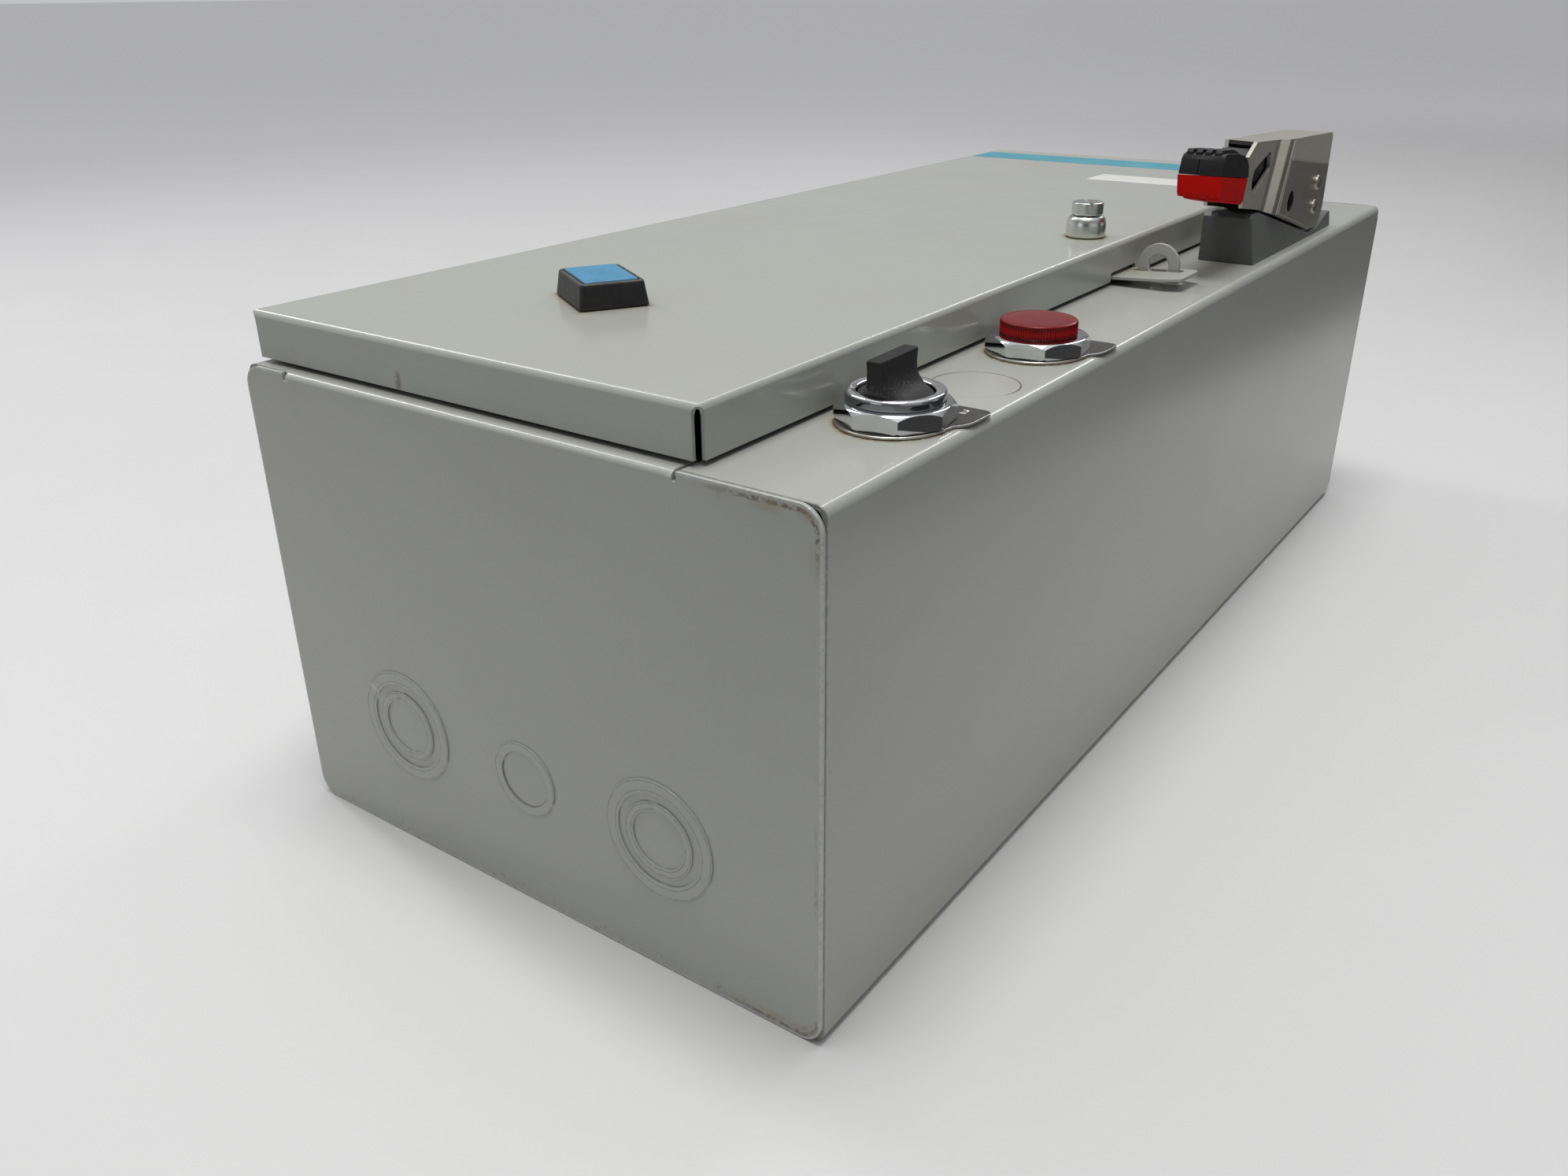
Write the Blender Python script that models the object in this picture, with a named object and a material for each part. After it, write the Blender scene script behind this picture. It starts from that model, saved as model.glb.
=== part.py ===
"""Enclosed three-pole disconnect switch with motor starter, lying on its back.

Frame: metres, +Z out of the door, +Y towards the handle end (the top when it
hangs on a wall), +X to the control flange. Origin: centre of the back face.
Sizes below are millimetres; heights along Y are given from the bottom end.
"""

import math

import bmesh
import bpy
from mathutils import Matrix, Vector

# ---------------------------------------------------------------- dimensions
MM = 0.001
WIDTH = 279.4            # 11 in
LENGTH = 660.4           # 26 in
DEPTH = 203.2            # 8 in, back face to front flange
SHEET = 1.6              # 16 gauge
GAP = 0.3                # between pieces that touch
BODY_BEND = 8.0          # outer radius of the wrap's bends
LIP_BEND = 3.0
LIP_LEFT = -111.0        # inner edge of the left front lip
LIP_RIGHT = 86.0         # inner edge of the control flange
LIP_RETURN = 10.0        # inward return of both front lips
CAP_RADIUS = 9.0         # corner radius of the end caps
CAP_LIP = 13.0           # inward lip of the caps at the door opening

DOOR_X = (-139.2, 89.8)
DOOR_Y = (6.35, 654.05)
DOOR_Z = (205.1, 223.9)
DOOR_BEND = 3.5
DOOR_SLIT = 3.0                   # open corner between two folded flanges

HINGE_AXIS = (-144.2, 206.0)      # x, z
HINGE_R = 4.2
HINGE_PIN_R = 2.2
HINGE_AT = {"lower": 130.0, "upper": 530.0}
HINGE_LENGTH = 60.0

CONTROL_X = 114.2
SELECTOR_Y = 81.6
PILOT_Y = 192.5
CONTROL_HOLE_R = 15.25            # 30.5 mm control devices
NUT_FLATS = 39.0

LATCH = (70.5, 336.0)
RESET = (-33.3, 96.6)
RESET_TURN = -31.0                # degrees
RESET_TRAVEL = 5.0

HASP_Y = (327.5, 356.0)
STAPLE = (105.0, 349.5)

HANDLE_X = 117.4
PIVOT = (529.0, 226.0)            # y, z of the handle's axis
CRANK_R = 70.0
CRANK_ANGLE = 316.0               # in the Y-Z plane, from +Y towards +Z, at OFF
CROSSBAR = (529.0, 95.0)          # y, z
POLES = {"a": -65.0, "b": -15.0, "c": 35.0}

PAN_Z = 12.0

# ------------------------------------------------------------------ helpers
for stale in list(bpy.data.objects):
    bpy.data.objects.remove(stale, do_unlink=True)

SCENE = bpy.context.scene


def fb(y):
    """A height from the bottom end, as a Y coordinate."""
    return y - LENGTH / 2


def material(name, colour, roughness, metallic):
    made = bpy.data.materials.new(name)
    made.use_nodes = True
    shader = made.node_tree.nodes["Principled BSDF"]
    shader.inputs["Base Color"].default_value = (*colour, 1.0)
    shader.inputs["Roughness"].default_value = roughness
    shader.inputs["Metallic"].default_value = metallic
    return made


GREY_ENAMEL = material("grey_enamel", (0.47, 0.47, 0.44), 0.38, 0.0)
ZINC = material("zinc_plate", (0.66, 0.66, 0.64), 0.35, 1.0)
CHROME = material("chrome", (0.80, 0.80, 0.80), 0.08, 1.0)
NICKEL = material("nickel_plate", (0.60, 0.57, 0.52), 0.30, 1.0)
CAST_GREY = material("cast_grey", (0.20, 0.21, 0.21), 0.55, 0.0)
BLACK_PLASTIC = material("black_plastic", (0.02, 0.02, 0.02), 0.45, 0.0)
RED_PLASTIC = material("red_plastic", (0.72, 0.05, 0.03), 0.40, 0.0)
RED_LENS = material("red_lens", (0.45, 0.02, 0.04), 0.15, 0.0)
BLUE_PLASTIC = material("blue_plastic", (0.06, 0.32, 0.62), 0.40, 0.0)
LEGEND_BLACK = material("legend_black", (0.03, 0.03, 0.03), 0.40, 0.3)
COPPER = material("copper", (0.72, 0.42, 0.26), 0.35, 1.0)
PHENOLIC = material("phenolic", (0.05, 0.045, 0.04), 0.50, 0.0)
WIRE = material("wire_black", (0.02, 0.02, 0.02), 0.50, 0.0)


def obj_from(bm, name, mat=None):
    bmesh.ops.remove_doubles(bm, verts=bm.verts, dist=1e-7)
    bmesh.ops.recalc_face_normals(bm, faces=bm.faces)
    mesh = bpy.data.meshes.new(name)
    bm.to_mesh(mesh)
    bm.free()
    made = bpy.data.objects.new(name, mesh)
    SCENE.collection.objects.link(made)
    if mat:
        mesh.materials.append(mat)
    return made


def place(axis, u, v, w):
    """A point with (u, v) across the axis and w along it, in metres."""
    if axis == "x":
        return Vector((w, u, v)) * MM
    if axis == "y":
        return Vector((u, w, v)) * MM
    return Vector((u, v, w)) * MM


def prism(name, outline, low, high, axis="z", mat=None):
    """An outline extruded along an axis: (x, y) for z, (x, z) for y, (y, z) for x."""
    bm = bmesh.new()
    ends = []
    for w in (low, high):
        ends.append([bm.verts.new(place(axis, u, v, w)) for u, v in outline])
    bm.faces.new(ends[0])
    bm.faces.new(ends[1])
    count = len(outline)
    for i in range(count):
        j = (i + 1) % count
        bm.faces.new((ends[0][i], ends[0][j], ends[1][j], ends[1][i]))
    return obj_from(bm, name, mat)


def box(name, low, high, mat=None):
    (x0, y0, z0), (x1, y1, z1) = low, high
    return prism(name, [(x0, y0), (x1, y0), (x1, y1), (x0, y1)], z0, z1, "z", mat)


def arc(cu, cv, radius, start, stop, steps):
    return [
        (
            cu + radius * math.cos(math.radians(start + (stop - start) * i / steps)),
            cv + radius * math.sin(math.radians(start + (stop - start) * i / steps)),
        )
        for i in range(steps + 1)
    ]


def ring_points(cu, cv, radius, count, turn=0.0):
    return [
        (
            cu + radius * math.cos(2 * math.pi * i / count + math.radians(turn)),
            cv + radius * math.sin(2 * math.pi * i / count + math.radians(turn)),
        )
        for i in range(count)
    ]


def rod(name, cu, cv, radius, low, high, axis="z", count=16, mat=None, turn=0.0):
    return prism(name, ring_points(cu, cv, radius, count, turn), low, high, axis, mat)


def lathe(name, centre, profile, count=24, mat=None):
    """A profile of (radius, z) points, closed on itself or ending on the axis, turned about Z."""
    bm = bmesh.new()
    rows = []
    for radius, z in profile:
        if radius < 1e-6:
            rows.append([bm.verts.new(Vector((centre[0], centre[1], z)) * MM)])
        else:
            rows.append(
                [
                    bm.verts.new(Vector((u, v, z)) * MM)
                    for u, v in ring_points(centre[0], centre[1], radius, count)
                ]
            )
    closed = len(rows[0]) > 1
    pairs = list(zip(rows, rows[1:]))
    if closed:
        pairs.append((rows[-1], rows[0]))
    for one, two in pairs:
        for i in range(count):
            j = (i + 1) % count
            corners = [one[i % len(one)], one[j % len(one)], two[j % len(two)], two[i % len(two)]]
            unique = []
            for corner in corners:
                if corner not in unique:
                    unique.append(corner)
            if len(unique) > 2:
                bm.faces.new(unique)
    return obj_from(bm, name, mat)


def combine(target, others, operation):
    """Joins to, or cuts from, the target with exact Booleans, and keeps the result as its mesh."""
    for other in others:
        step = target.modifiers.new(operation.lower(), "BOOLEAN")
        step.operation = operation
        step.solver = "EXACT"
        step.object = other
    bpy.context.view_layer.update()
    graph = bpy.context.evaluated_depsgraph_get()
    mats = list(target.data.materials)
    mesh = bpy.data.meshes.new_from_object(target.evaluated_get(graph))
    target.modifiers.clear()
    target.data = mesh
    mesh.materials.clear()
    for mat in mats:
        mesh.materials.append(mat)
    for other in others:
        bpy.data.objects.remove(other, do_unlink=True)
    bm = bmesh.new()
    bm.from_mesh(mesh)
    bmesh.ops.remove_doubles(bm, verts=bm.verts, dist=2e-6)
    bmesh.ops.dissolve_limit(
        bm, angle_limit=math.radians(0.4), verts=bm.verts, edges=bm.edges
    )
    bm.to_mesh(mesh)
    bm.free()
    for face in mesh.polygons:
        face.material_index = 0
    return target


def join(target, *others):
    return combine(target, others, "UNION")


def cut(target, *others):
    return combine(target, others, "DIFFERENCE")


def keep(target, *others):
    return combine(target, others, "INTERSECT")


def turned(made, centre, degrees, axis="Z"):
    """Turns a mesh about an axis through a point (mm)."""
    pivot = Vector(centre) * MM
    made.data.transform(
        Matrix.Translation(pivot)
        @ Matrix.Rotation(math.radians(degrees), 4, axis)
        @ Matrix.Translation(-pivot)
    )
    return made


def origin_at(made, point):
    """Puts an object's origin on a point of its joint's axis (mm)."""
    spot = Vector(point) * MM
    made.data.transform(Matrix.Translation(-spot))
    made.location = spot
    return made


def smooth(made, degrees=35.0):
    made.data.shade_smooth()
    made.data.set_sharp_from_angle(angle=math.radians(degrees))
    return made


# ---------------------------------------------------------------- enclosure
def wrap_side(offset):
    """One face of the bent sheet, from the right return round to the left return."""
    r, lip = BODY_BEND, LIP_BEND
    w, d = WIDTH / 2, DEPTH
    points = [(LIP_RIGHT + offset, d - LIP_RETURN)]
    points += arc(LIP_RIGHT + lip, d - lip, lip - offset, 180, 90, 2)
    points += arc(w - r, d - r, r - offset, 90, 0, 4)
    points += arc(w - r, r, r - offset, 0, -90, 4)
    points += arc(r - w, r, r - offset, -90, -180, 4)
    points += arc(r - w, d - r, r - offset, 180, 90, 4)
    points += arc(LIP_LEFT - lip, d - lip, lip - offset, 90, 0, 2)
    points.append((LIP_LEFT - offset, d - LIP_RETURN))
    return points


WRAP_ENDS = (fb(SHEET + GAP), fb(LENGTH - SHEET - GAP))
body_wrap = prism(
    "body_wrap",
    wrap_side(0.0) + wrap_side(SHEET)[::-1],
    *WRAP_ENDS,
    axis="y",
    mat=GREY_ENAMEL,
)
CRANK_SLOT_Y = (486.0, 562.0)
MOUNT_HOLES = [(x, y) for x in (-100.0, 100.0) for y in (32.0, 628.4)]
PAN_SCREWS = [(x, y) for x in (-119.0, 119.0) for y in (70.0, 590.0)]
cut(
    body_wrap,
    rod("c", CONTROL_X, fb(SELECTOR_Y), CONTROL_HOLE_R, 190, 210, count=24),
    rod("c", CONTROL_X, fb(PILOT_Y), CONTROL_HOLE_R, 190, 210, count=24),
    box("c", (HANDLE_X - 4.4, fb(CRANK_SLOT_Y[0]), 195), (HANDLE_X + 4.4, fb(CRANK_SLOT_Y[1]), 210)),
    *[rod("c", x, fb(y), 4.4, -5, 5, count=12) for x, y in MOUNT_HOLES],
    *[rod("c", x, fb(y), 2.8, -5, 5, count=8) for x, y in PAN_SCREWS],
)
smooth(body_wrap)


def end_cap(name, sign):
    """A plate over the wrap's end, with flanges inside the wrap and a lip at the door opening."""

    def y(depth):
        return sign * (depth - LENGTH / 2)

    w, d, r = WIDTH / 2, DEPTH, CAP_RADIUS
    relief = 2.4
    outline = arc(w - r, r, r, -90, 0, 5) + arc(w - r, d - r, r, 0, 90, 5)
    outline += [(LIP_RIGHT + 0.2, d), (LIP_RIGHT + 0.2, d - 4.5), (LIP_RIGHT - relief, d - 4.5)]
    outline += [(LIP_RIGHT - relief, d - 6.0), (LIP_LEFT + relief, d - 6.0)]
    outline += [(LIP_LEFT + relief, d - 4.5), (LIP_LEFT - 0.2, d - 4.5), (LIP_LEFT - 0.2, d)]
    outline += arc(r - w, d - r, r, 90, 180, 5) + arc(r - w, r, r, 180, 270, 5)
    plate = prism(name, outline, y(0), y(SHEET), "y", GREY_ENAMEL)
    inner = SHEET + 0.4
    flange = []
    for shift in (inner, inner + SHEET):
        fr = max(BODY_BEND - shift, 2.0)
        side = [(w - shift, d - 14)] + arc(w - shift - fr, shift + fr, fr, 0, -90, 3)
        side += arc(shift + fr - w, shift + fr, fr, -90, -180, 3) + [(shift - w, d - 14)]
        flange.append(side)
    skirt = prism("skirt", flange[0] + flange[1][::-1], y(SHEET - 0.6), y(15), "y")
    lip = [(y(0), d - 9), (y(0), d - LIP_BEND)]
    lip += [(y(LIP_BEND - LIP_BEND * math.cos(math.radians(a))), d - LIP_BEND + LIP_BEND * math.sin(math.radians(a))) for a in (30, 60, 90)]
    lip += [(y(CAP_LIP), d), (y(CAP_LIP), d - SHEET), (y(LIP_BEND), d - SHEET)]
    ir = LIP_BEND - SHEET
    lip += [(y(LIP_BEND - ir * math.cos(math.radians(a))), d - LIP_BEND + ir * math.sin(math.radians(a))) for a in (45, 0)]
    lip += [(y(SHEET), d - 9)]
    fold = prism("fold", lip, LIP_LEFT + relief, LIP_RIGHT - relief, "x")
    join(plate, skirt, fold)
    return smooth(plate, 25)


end_cap("bottom_end_cap", 1.0)
end_cap("top_end_cap", -1.0)

# --------------------------------------------------------------------- door
def tray(name, x, y, z, radius, mat=None):
    """A block with its upper edges rounded."""
    bm = bmesh.new()
    bmesh.ops.create_cube(bm, size=1.0)
    for vert in bm.verts:
        vert.co = Vector(
            (
                x[0] if vert.co.x < 0 else x[1],
                y[0] if vert.co.y < 0 else y[1],
                z[0] if vert.co.z < 0 else z[1],
            )
        ) * MM
    top = [e for e in bm.edges if all(v.co.z > (z[0] + z[1]) / 2 * MM for v in e.verts)]
    bmesh.ops.bevel(
        bm, geom=top, offset=radius * MM, segments=3, profile=0.5, affect="EDGES"
    )
    return obj_from(bm, name, mat)


door_y = (fb(DOOR_Y[0]), fb(DOOR_Y[1]))
door_panel = tray("door_panel", DOOR_X, door_y, DOOR_Z, DOOR_BEND, GREY_ENAMEL)
slits = [
    box(
        "c",
        (min(cx - 5 * sx, cx + DOOR_SLIT * sx), min(cy - 5 * sy, cy + DOOR_SLIT * sy), 190),
        (max(cx - 5 * sx, cx + DOOR_SLIT * sx), max(cy - 5 * sy, cy + DOOR_SLIT * sy), DOOR_Z[1] - 4.4),
    )
    for cx, sx in ((DOOR_X[0], 1), (DOOR_X[1], -1))
    for cy, sy in ((door_y[0], 1), (door_y[1], -1))
]
cut(
    door_panel,
    tray(
        "c",
        (DOOR_X[0] + SHEET, DOOR_X[1] - SHEET),
        (door_y[0] + SHEET, door_y[1] - SHEET),
        (190.0, DOOR_Z[1] - SHEET),
        DOOR_BEND - SHEET,
    ),
    *slits,
    box("c", (80, fb(HASP_Y[0] - 1.2), 200), (95, fb(HASP_Y[1] + 1.2), 209.5)),
    rod("c", LATCH[0], fb(LATCH[1]), 5.3, 215, 230, count=16),
    rod("c", RESET[0], fb(RESET[1]), 6.0, 215, 230, count=16),
)
origin_at(smooth(door_panel), (HINGE_AXIS[0], 0, HINGE_AXIS[1]))

# ------------------------------------------------------------------- hinges
for where, middle in HINGE_AT.items():
    ax, az = HINGE_AXIS
    y0, y1 = fb(middle - HINGE_LENGTH / 2), fb(middle + HINGE_LENGTH / 2)
    a, b = y0 + 19.0, y1 - 19.0
    leaf_x = (-WIDTH / 2 - GAP - 1.4, -WIDTH / 2 - GAP)
    body_leaf = box(f"{where}_hinge_body_leaf", (leaf_x[0], y0, 168), (leaf_x[1], y1, 200.9), ZINC)
    join(
        body_leaf,
        box("u", (leaf_x[0], y0, 199), (leaf_x[1], a, az)),
        box("u", (leaf_x[0], b, 199), (leaf_x[1], y1, az)),
        rod("u", ax, az, HINGE_R, y0, a, "y", 14),
        rod("u", ax, az, HINGE_R, b, y1, "y", 14),
    )
    cut(body_leaf, rod("c", ax, az, HINGE_PIN_R + GAP, y0 - 5, y1 + 5, "y", 14))
    smooth(body_leaf)
    door_leaf_x = (DOOR_X[0] - GAP - 1.4, DOOR_X[0] - GAP)
    door_leaf = box(f"{where}_hinge_door_leaf", (door_leaf_x[0], y0, 211), (door_leaf_x[1], y1, 219), ZINC)
    join(
        door_leaf,
        box("u", (door_leaf_x[0], a + 0.4, az), (door_leaf_x[1], b - 0.4, 215)),
        rod("u", ax, az, HINGE_R, a + 0.4, b - 0.4, "y", 14),
    )
    cut(door_leaf, rod("c", ax, az, HINGE_PIN_R + GAP, y0 - 5, y1 + 5, "y", 14))
    origin_at(smooth(door_leaf), (ax, 0, az))
    pin = rod(f"{where}_hinge_pin", ax, az, HINGE_PIN_R, y0 - 1.5, y1 + 1.0, "y", 14, ZINC)
    join(pin, rod("u", ax, az, 3.6, y0 - 3.2, y0 - 0.5, "y", 14))
    smooth(pin)

# -------------------------------------------------------------------- latch
lx, ly = LATCH[0], fb(LATCH[1])
door_top = DOOR_Z[1]
latch_bushing = lathe(
    "latch_bushing",
    (lx, ly),
    [
        (4.5, 216.5), (4.9, 216.5), (4.9, door_top + GAP), (9.6, door_top + GAP),
        (9.7, door_top + 3.0), (9.4, door_top + 6.0), (8.7, door_top + 8.8),
        (7.9, door_top + 10.3), (4.5, door_top + 10.3),
    ],
    20,
    ZINC,
)
origin_at(smooth(latch_bushing), (HINGE_AXIS[0], 0, HINGE_AXIS[1]))
latch_screw = lathe(
    "latch_screw",
    (lx, ly),
    [
        (0, 181.0), (4.0, 181.0), (4.0, door_top + 10.8), (7.1, door_top + 10.8), (7.7, door_top + 11.4),
        (7.7, door_top + 16.2), (7.0, door_top + 16.9), (0, door_top + 16.9),
    ],
    20,
    ZINC,
)
LATCH_SLOT = 126.0
cut(latch_screw, turned(box("c", (lx - 10, ly - 0.9, door_top + 15.0), (lx + 10, ly + 0.9, 250)), (lx, ly, 0), LATCH_SLOT))
origin_at(smooth(latch_screw), (lx, ly, 200))
latch_pawl = prism(
    "latch_pawl",
    [(lx - 6, ly - 24), (lx - 3, ly - 27), (lx + 3, ly - 27), (lx + 6, ly - 24), (lx + 6, ly + 7), (lx - 6, ly + 7)],
    187.8,
    190.6,
    "z",
    ZINC,
)
cut(latch_pawl, rod("c", lx, ly, 4.0 + GAP, 180, 200, count=20))
origin_at(latch_pawl, (lx, ly, 200))
latch_nut = rod("latch_nut", lx, ly, 7.5, 183.4, 187.4, count=6, mat=ZINC)
cut(latch_nut, rod("c", lx, ly, 4.0 + GAP, 180, 200, count=20))
origin_at(latch_nut, (lx, ly, 200))

# ----------------------------------------------------------- hasp and staple
hasp_plate = box("hasp_plate", (84.2, fb(HASP_Y[0]), 205.7), (124.0, fb(HASP_Y[1]), 207.3), GREY_ENAMEL)
join(hasp_plate, box("u", (84.2, fb(HASP_Y[0]), 206.5), (85.8, fb(HASP_Y[1]), 219.0)))
sx, sy = STAPLE[0], fb(STAPLE[1])
cut(hasp_plate, box("c", (sx - 12.5, sy - 3.0, 200), (sx + 12.5, sy + 3.0, 210)))
origin_at(hasp_plate, (HINGE_AXIS[0], 0, HINGE_AXIS[1]))
lock_staple = prism(
    "lock_staple",
    [(sx - 10.5, DEPTH + GAP), (sx + 10.5, DEPTH + GAP)] + arc(sx, 211.3, 10.5, 0, 180, 10),
    sy - 1.3,
    sy + 1.3,
    "y",
    GREY_ENAMEL,
)
cut(lock_staple, rod("c", sx, 211.3, 4.9, sy - 5, sy + 5, "y", 16))
smooth(lock_staple, 25)

# -------------------------------------------------------------- reset button
rx, ry = RESET[0], fb(RESET[1])


def frustum(name, low, high, z0, z1, mat=None):
    """A tapered block centred on the reset button and turned with it."""
    bm = bmesh.new()
    rows = []
    for (w, l), z in ((low, z0), (high, z1)):
        rows.append(
            [
                bm.verts.new(Vector((rx + sx_ * w / 2, ry + sy_ * l / 2, z)) * MM)
                for sx_, sy_ in ((-1, -1), (1, -1), (1, 1), (-1, 1))
            ]
        )
    bm.faces.new(rows[0])
    bm.faces.new(rows[1])
    for i in range(4):
        j = (i + 1) % 4
        bm.faces.new((rows[0][i], rows[0][j], rows[1][j], rows[1][i]))
    return turned(obj_from(bm, name, mat), (rx, ry, 0), RESET_TURN)


reset_boot = frustum("reset_boot", (38.4, 28.6), (36.2, 25.8), door_top + GAP, door_top + 10.2, BLACK_PLASTIC)
cut(
    reset_boot,
    frustum("c", (32.9, 22.5), (32.9, 22.5), door_top + 3.0, door_top + 30),
    rod("c", rx, ry, 4.0, 215, 240, count=16),
)
origin_at(reset_boot, (HINGE_AXIS[0], 0, HINGE_AXIS[1]))
reset_cap = frustum("reset_cap", (32.2, 21.8), (31.7, 21.3), door_top + 8.4, door_top + 10.8, BLUE_PLASTIC)
origin_at(reset_cap, (rx, ry, door_top))
reset_rod = rod("reset_rod", rx, ry, 3.0, 93.4, door_top + 8.1, count=12, mat=ZINC)
origin_at(smooth(reset_rod), (rx, ry, door_top))
reset_guide_nut = rod("reset_guide_nut", rx, ry, 10.4, 217.0, 222.0, count=6, mat=ZINC)
cut(reset_guide_nut, rod("c", rx, ry, 3.4, 200, 230, count=12))
origin_at(reset_guide_nut, (HINGE_AXIS[0], 0, HINGE_AXIS[1]))


# ---------------------------------------------------------- control devices
def legend_plate(name, y):
    """A plate with a round lower half and a square tab above the device."""
    cx, cy = CONTROL_X, fb(y)
    outline = arc(cx, cy, 22.3, 187, 353, 16)
    outline += [(cx + 24.9, cy + 10)] + arc(cx + 24.9 - 4, cy + 24.8 - 4, 4, 0, 90, 3)
    outline += arc(cx - 24.9 + 4, cy + 24.8 - 4, 4, 90, 180, 3) + [(cx - 24.9, cy + 10)]
    plate = prism(name, outline, DEPTH + GAP, DEPTH + 1.2, "z", LEGEND_BLACK)
    return cut(plate, rod("c", cx, cy, CONTROL_HOLE_R, 190, 220, count=24))


def ring_nut(name, y, top):
    cx, cy = CONTROL_X, fb(y)
    corner = NUT_FLATS / 2 / math.cos(math.pi / 8)
    nut = rod(name, cx, cy, corner, DEPTH + 1.5, top, count=8, mat=CHROME, turn=-12.0)
    return cut(nut, rod("c", cx, cy, 15.2, 190, 230, count=24))


legend_plate("selector_legend_plate", SELECTOR_Y)
ring_nut("selector_nut", SELECTOR_Y, 211.3)
cx, cy = CONTROL_X, fb(SELECTOR_Y)
selector_bushing = lathe(
    "selector_bushing",
    (cx, cy),
    [
        (4.4, 190.0), (14.8, 190.0), (14.8, 211.6), (17.5, 211.6), (17.5, 214.2), (16.6, 215.0),
        (13.2, 215.0), (13.2, 205.0), (4.4, 205.0),
    ],
    24,
    CHROME,
)
smooth(selector_bushing)
selector_knob = lathe("selector_knob", (cx, cy), [(0, 205.4), (12.8, 205.4), (12.8, 213.0), (0, 213.8)], 24, BLACK_PLASTIC)
paddle = []
for half, z in ((8.6, 212.0), (5.0, 215.5), (3.2, 219.0), (3.1, 226.6)):
    paddle.append((half, z))
side = [(-h, z) for h, z in paddle] + [(h, z) for h, z in reversed(paddle)]
blade = prism("u", [(cx + u, z) for u, z in side], cy - 12.4, cy + 12.4, "y")
keep(blade, rod("c", cx, cy, 12.75, 200, 230, count=24))
join(selector_knob, blade, rod("u", cx, cy, 4.0, 184.0, 207.0, count=16))
origin_at(smooth(selector_knob), (cx, cy, 205))
selector_contact_block = box("selector_contact_block", (cx - 17.5, cy - 20, 150), (cx + 17.5, cy + 20, 189.6), PHENOLIC)
cut(
    selector_contact_block,
    rod("c", cx, cy, 4.5, 182, 195, count=16),
    box("c", (cx - 20, cy - 24, 149), (cx - 12, cy - 13, 160)),
    box("c", (cx - 20, cy + 13, 149), (cx - 12, cy + 24, 160)),
    box("c", (cx + 12, cy - 24, 149), (cx + 20, cy - 13, 160)),
    box("c", (cx + 12, cy + 13, 149), (cx + 20, cy + 24, 160)),
)

legend_plate("pilot_legend_plate", PILOT_Y)
ring_nut("pilot_nut", PILOT_Y, 211.0)
py = fb(PILOT_Y)
pilot_lens = lathe(
    "pilot_lens",
    (cx, py),
    [(0, 214.6), (13.4, 214.4), (13.4, 211.6), (15.5, 211.6), (15.5, 215.6), (14.6, 216.6), (0, 216.9)],
    24,
    RED_LENS,
)
smooth(pilot_lens)
pilot_lamp_body = lathe(
    "pilot_lamp_body",
    (cx, py),
    [(0, 185.0), (14.8, 185.0), (14.8, 211.2), (12.0, 211.2), (12.0, 206.0), (4.0, 206.0), (4.0, 211.6), (0, 213.4)],
    24,
    PHENOLIC,
)
join(pilot_lamp_body, box("u", (cx - 17.5, py - 20, 156), (cx + 17.5, py + 20, 189.6)))
smooth(pilot_lamp_body)

# ------------------------------------------------------------------- handle
hx = HANDLE_X
pv_y, pv_z = fb(PIVOT[0]), PIVOT[1]
FOOT_TOP = 205.5
handle_base = prism(
    "handle_base",
    [
        (fb(414.5), DEPTH + GAP), (fb(565.0), DEPTH + GAP), (fb(565.0), 211.2), (fb(562.5), 212.0),
        (fb(535.0), FOOT_TOP), (fb(517.0), FOOT_TOP),
        (fb(426.0), 228.5), (fb(416.5), 228.5), (fb(414.5), 226.5),
    ],
    hx - 14.5,
    hx + 14.5,
    "x",
    CAST_GREY,
)
cheek = [(pv_y - 15, 204.5), (pv_y + 15, 204.5)] + arc(pv_y, pv_z, 13, 0, 180, 8)
join(
    handle_base,
    prism("u", cheek, hx - 8.4, hx - 4.2, "x"),
    prism("u", cheek, hx + 4.2, hx + 8.4, "x"),
)
cut(
    handle_base,
    box("c", (hx - 4.2, fb(CRANK_SLOT_Y[0]) + 0.2, 190), (hx + 4.2, fb(CRANK_SLOT_Y[1]) - 0.2, 260)),
    rod("c", pv_y, pv_z, 4.0 + GAP, hx - 20, hx + 20, "x", 16),
    box("c", (hx - 3.5, fb(410), 219), (hx + 3.5, fb(424), 240)),
    prism("c", [(hx + 14.5, 203), (hx + 10.3, 229), (hx + 20, 229), (hx + 20, 203)], fb(400), fb(580), "y"),
)
smooth(handle_base, 25)

profile = [
    (398.0, 234.0), (426.0, 229.8), (519.0, 206.8), (532.0, 206.8),
] + arc(532.0, 219.8, 13.0, -68, 0, 3) + [(543.5, 257.0), (541.0, 259.0), (463.0, 262.0), (409.0, 265.0), (398.0, 258.8)]
handle_lever = prism("handle_lever", [(fb(y), z) for y, z in profile], hx - 20, hx + 20, "x", NICKEL)
JOGGLE_LEAN = 0.4                 # the side walls' step leans away from the grip


def lever_plan(name, half_near, half_far, y0, y1):
    """The lever's plan, with the step between its narrow and its wide half leaning with height."""
    bm = bmesh.new()
    ends = []
    for z in (190.0, 280.0):
        lean = JOGGLE_LEAN * (z - 225.0)
        right = [(half_near, y0), (half_near, 434.0 + lean), (half_far, 449.0 + lean), (half_far, y1)]
        plan = [(u, y) for u, y in right] + [(-u, y) for u, y in reversed(right)]
        ends.append([bm.verts.new(Vector((hx + u, fb(y), z)) * MM) for u, y in plan])
    bm.faces.new(ends[0])
    bm.faces.new(ends[1])
    for i in range(8):
        j = (i + 1) % 8
        bm.faces.new((ends[0][i], ends[0][j], ends[1][j], ends[1][i]))
    return obj_from(bm, name)


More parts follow.
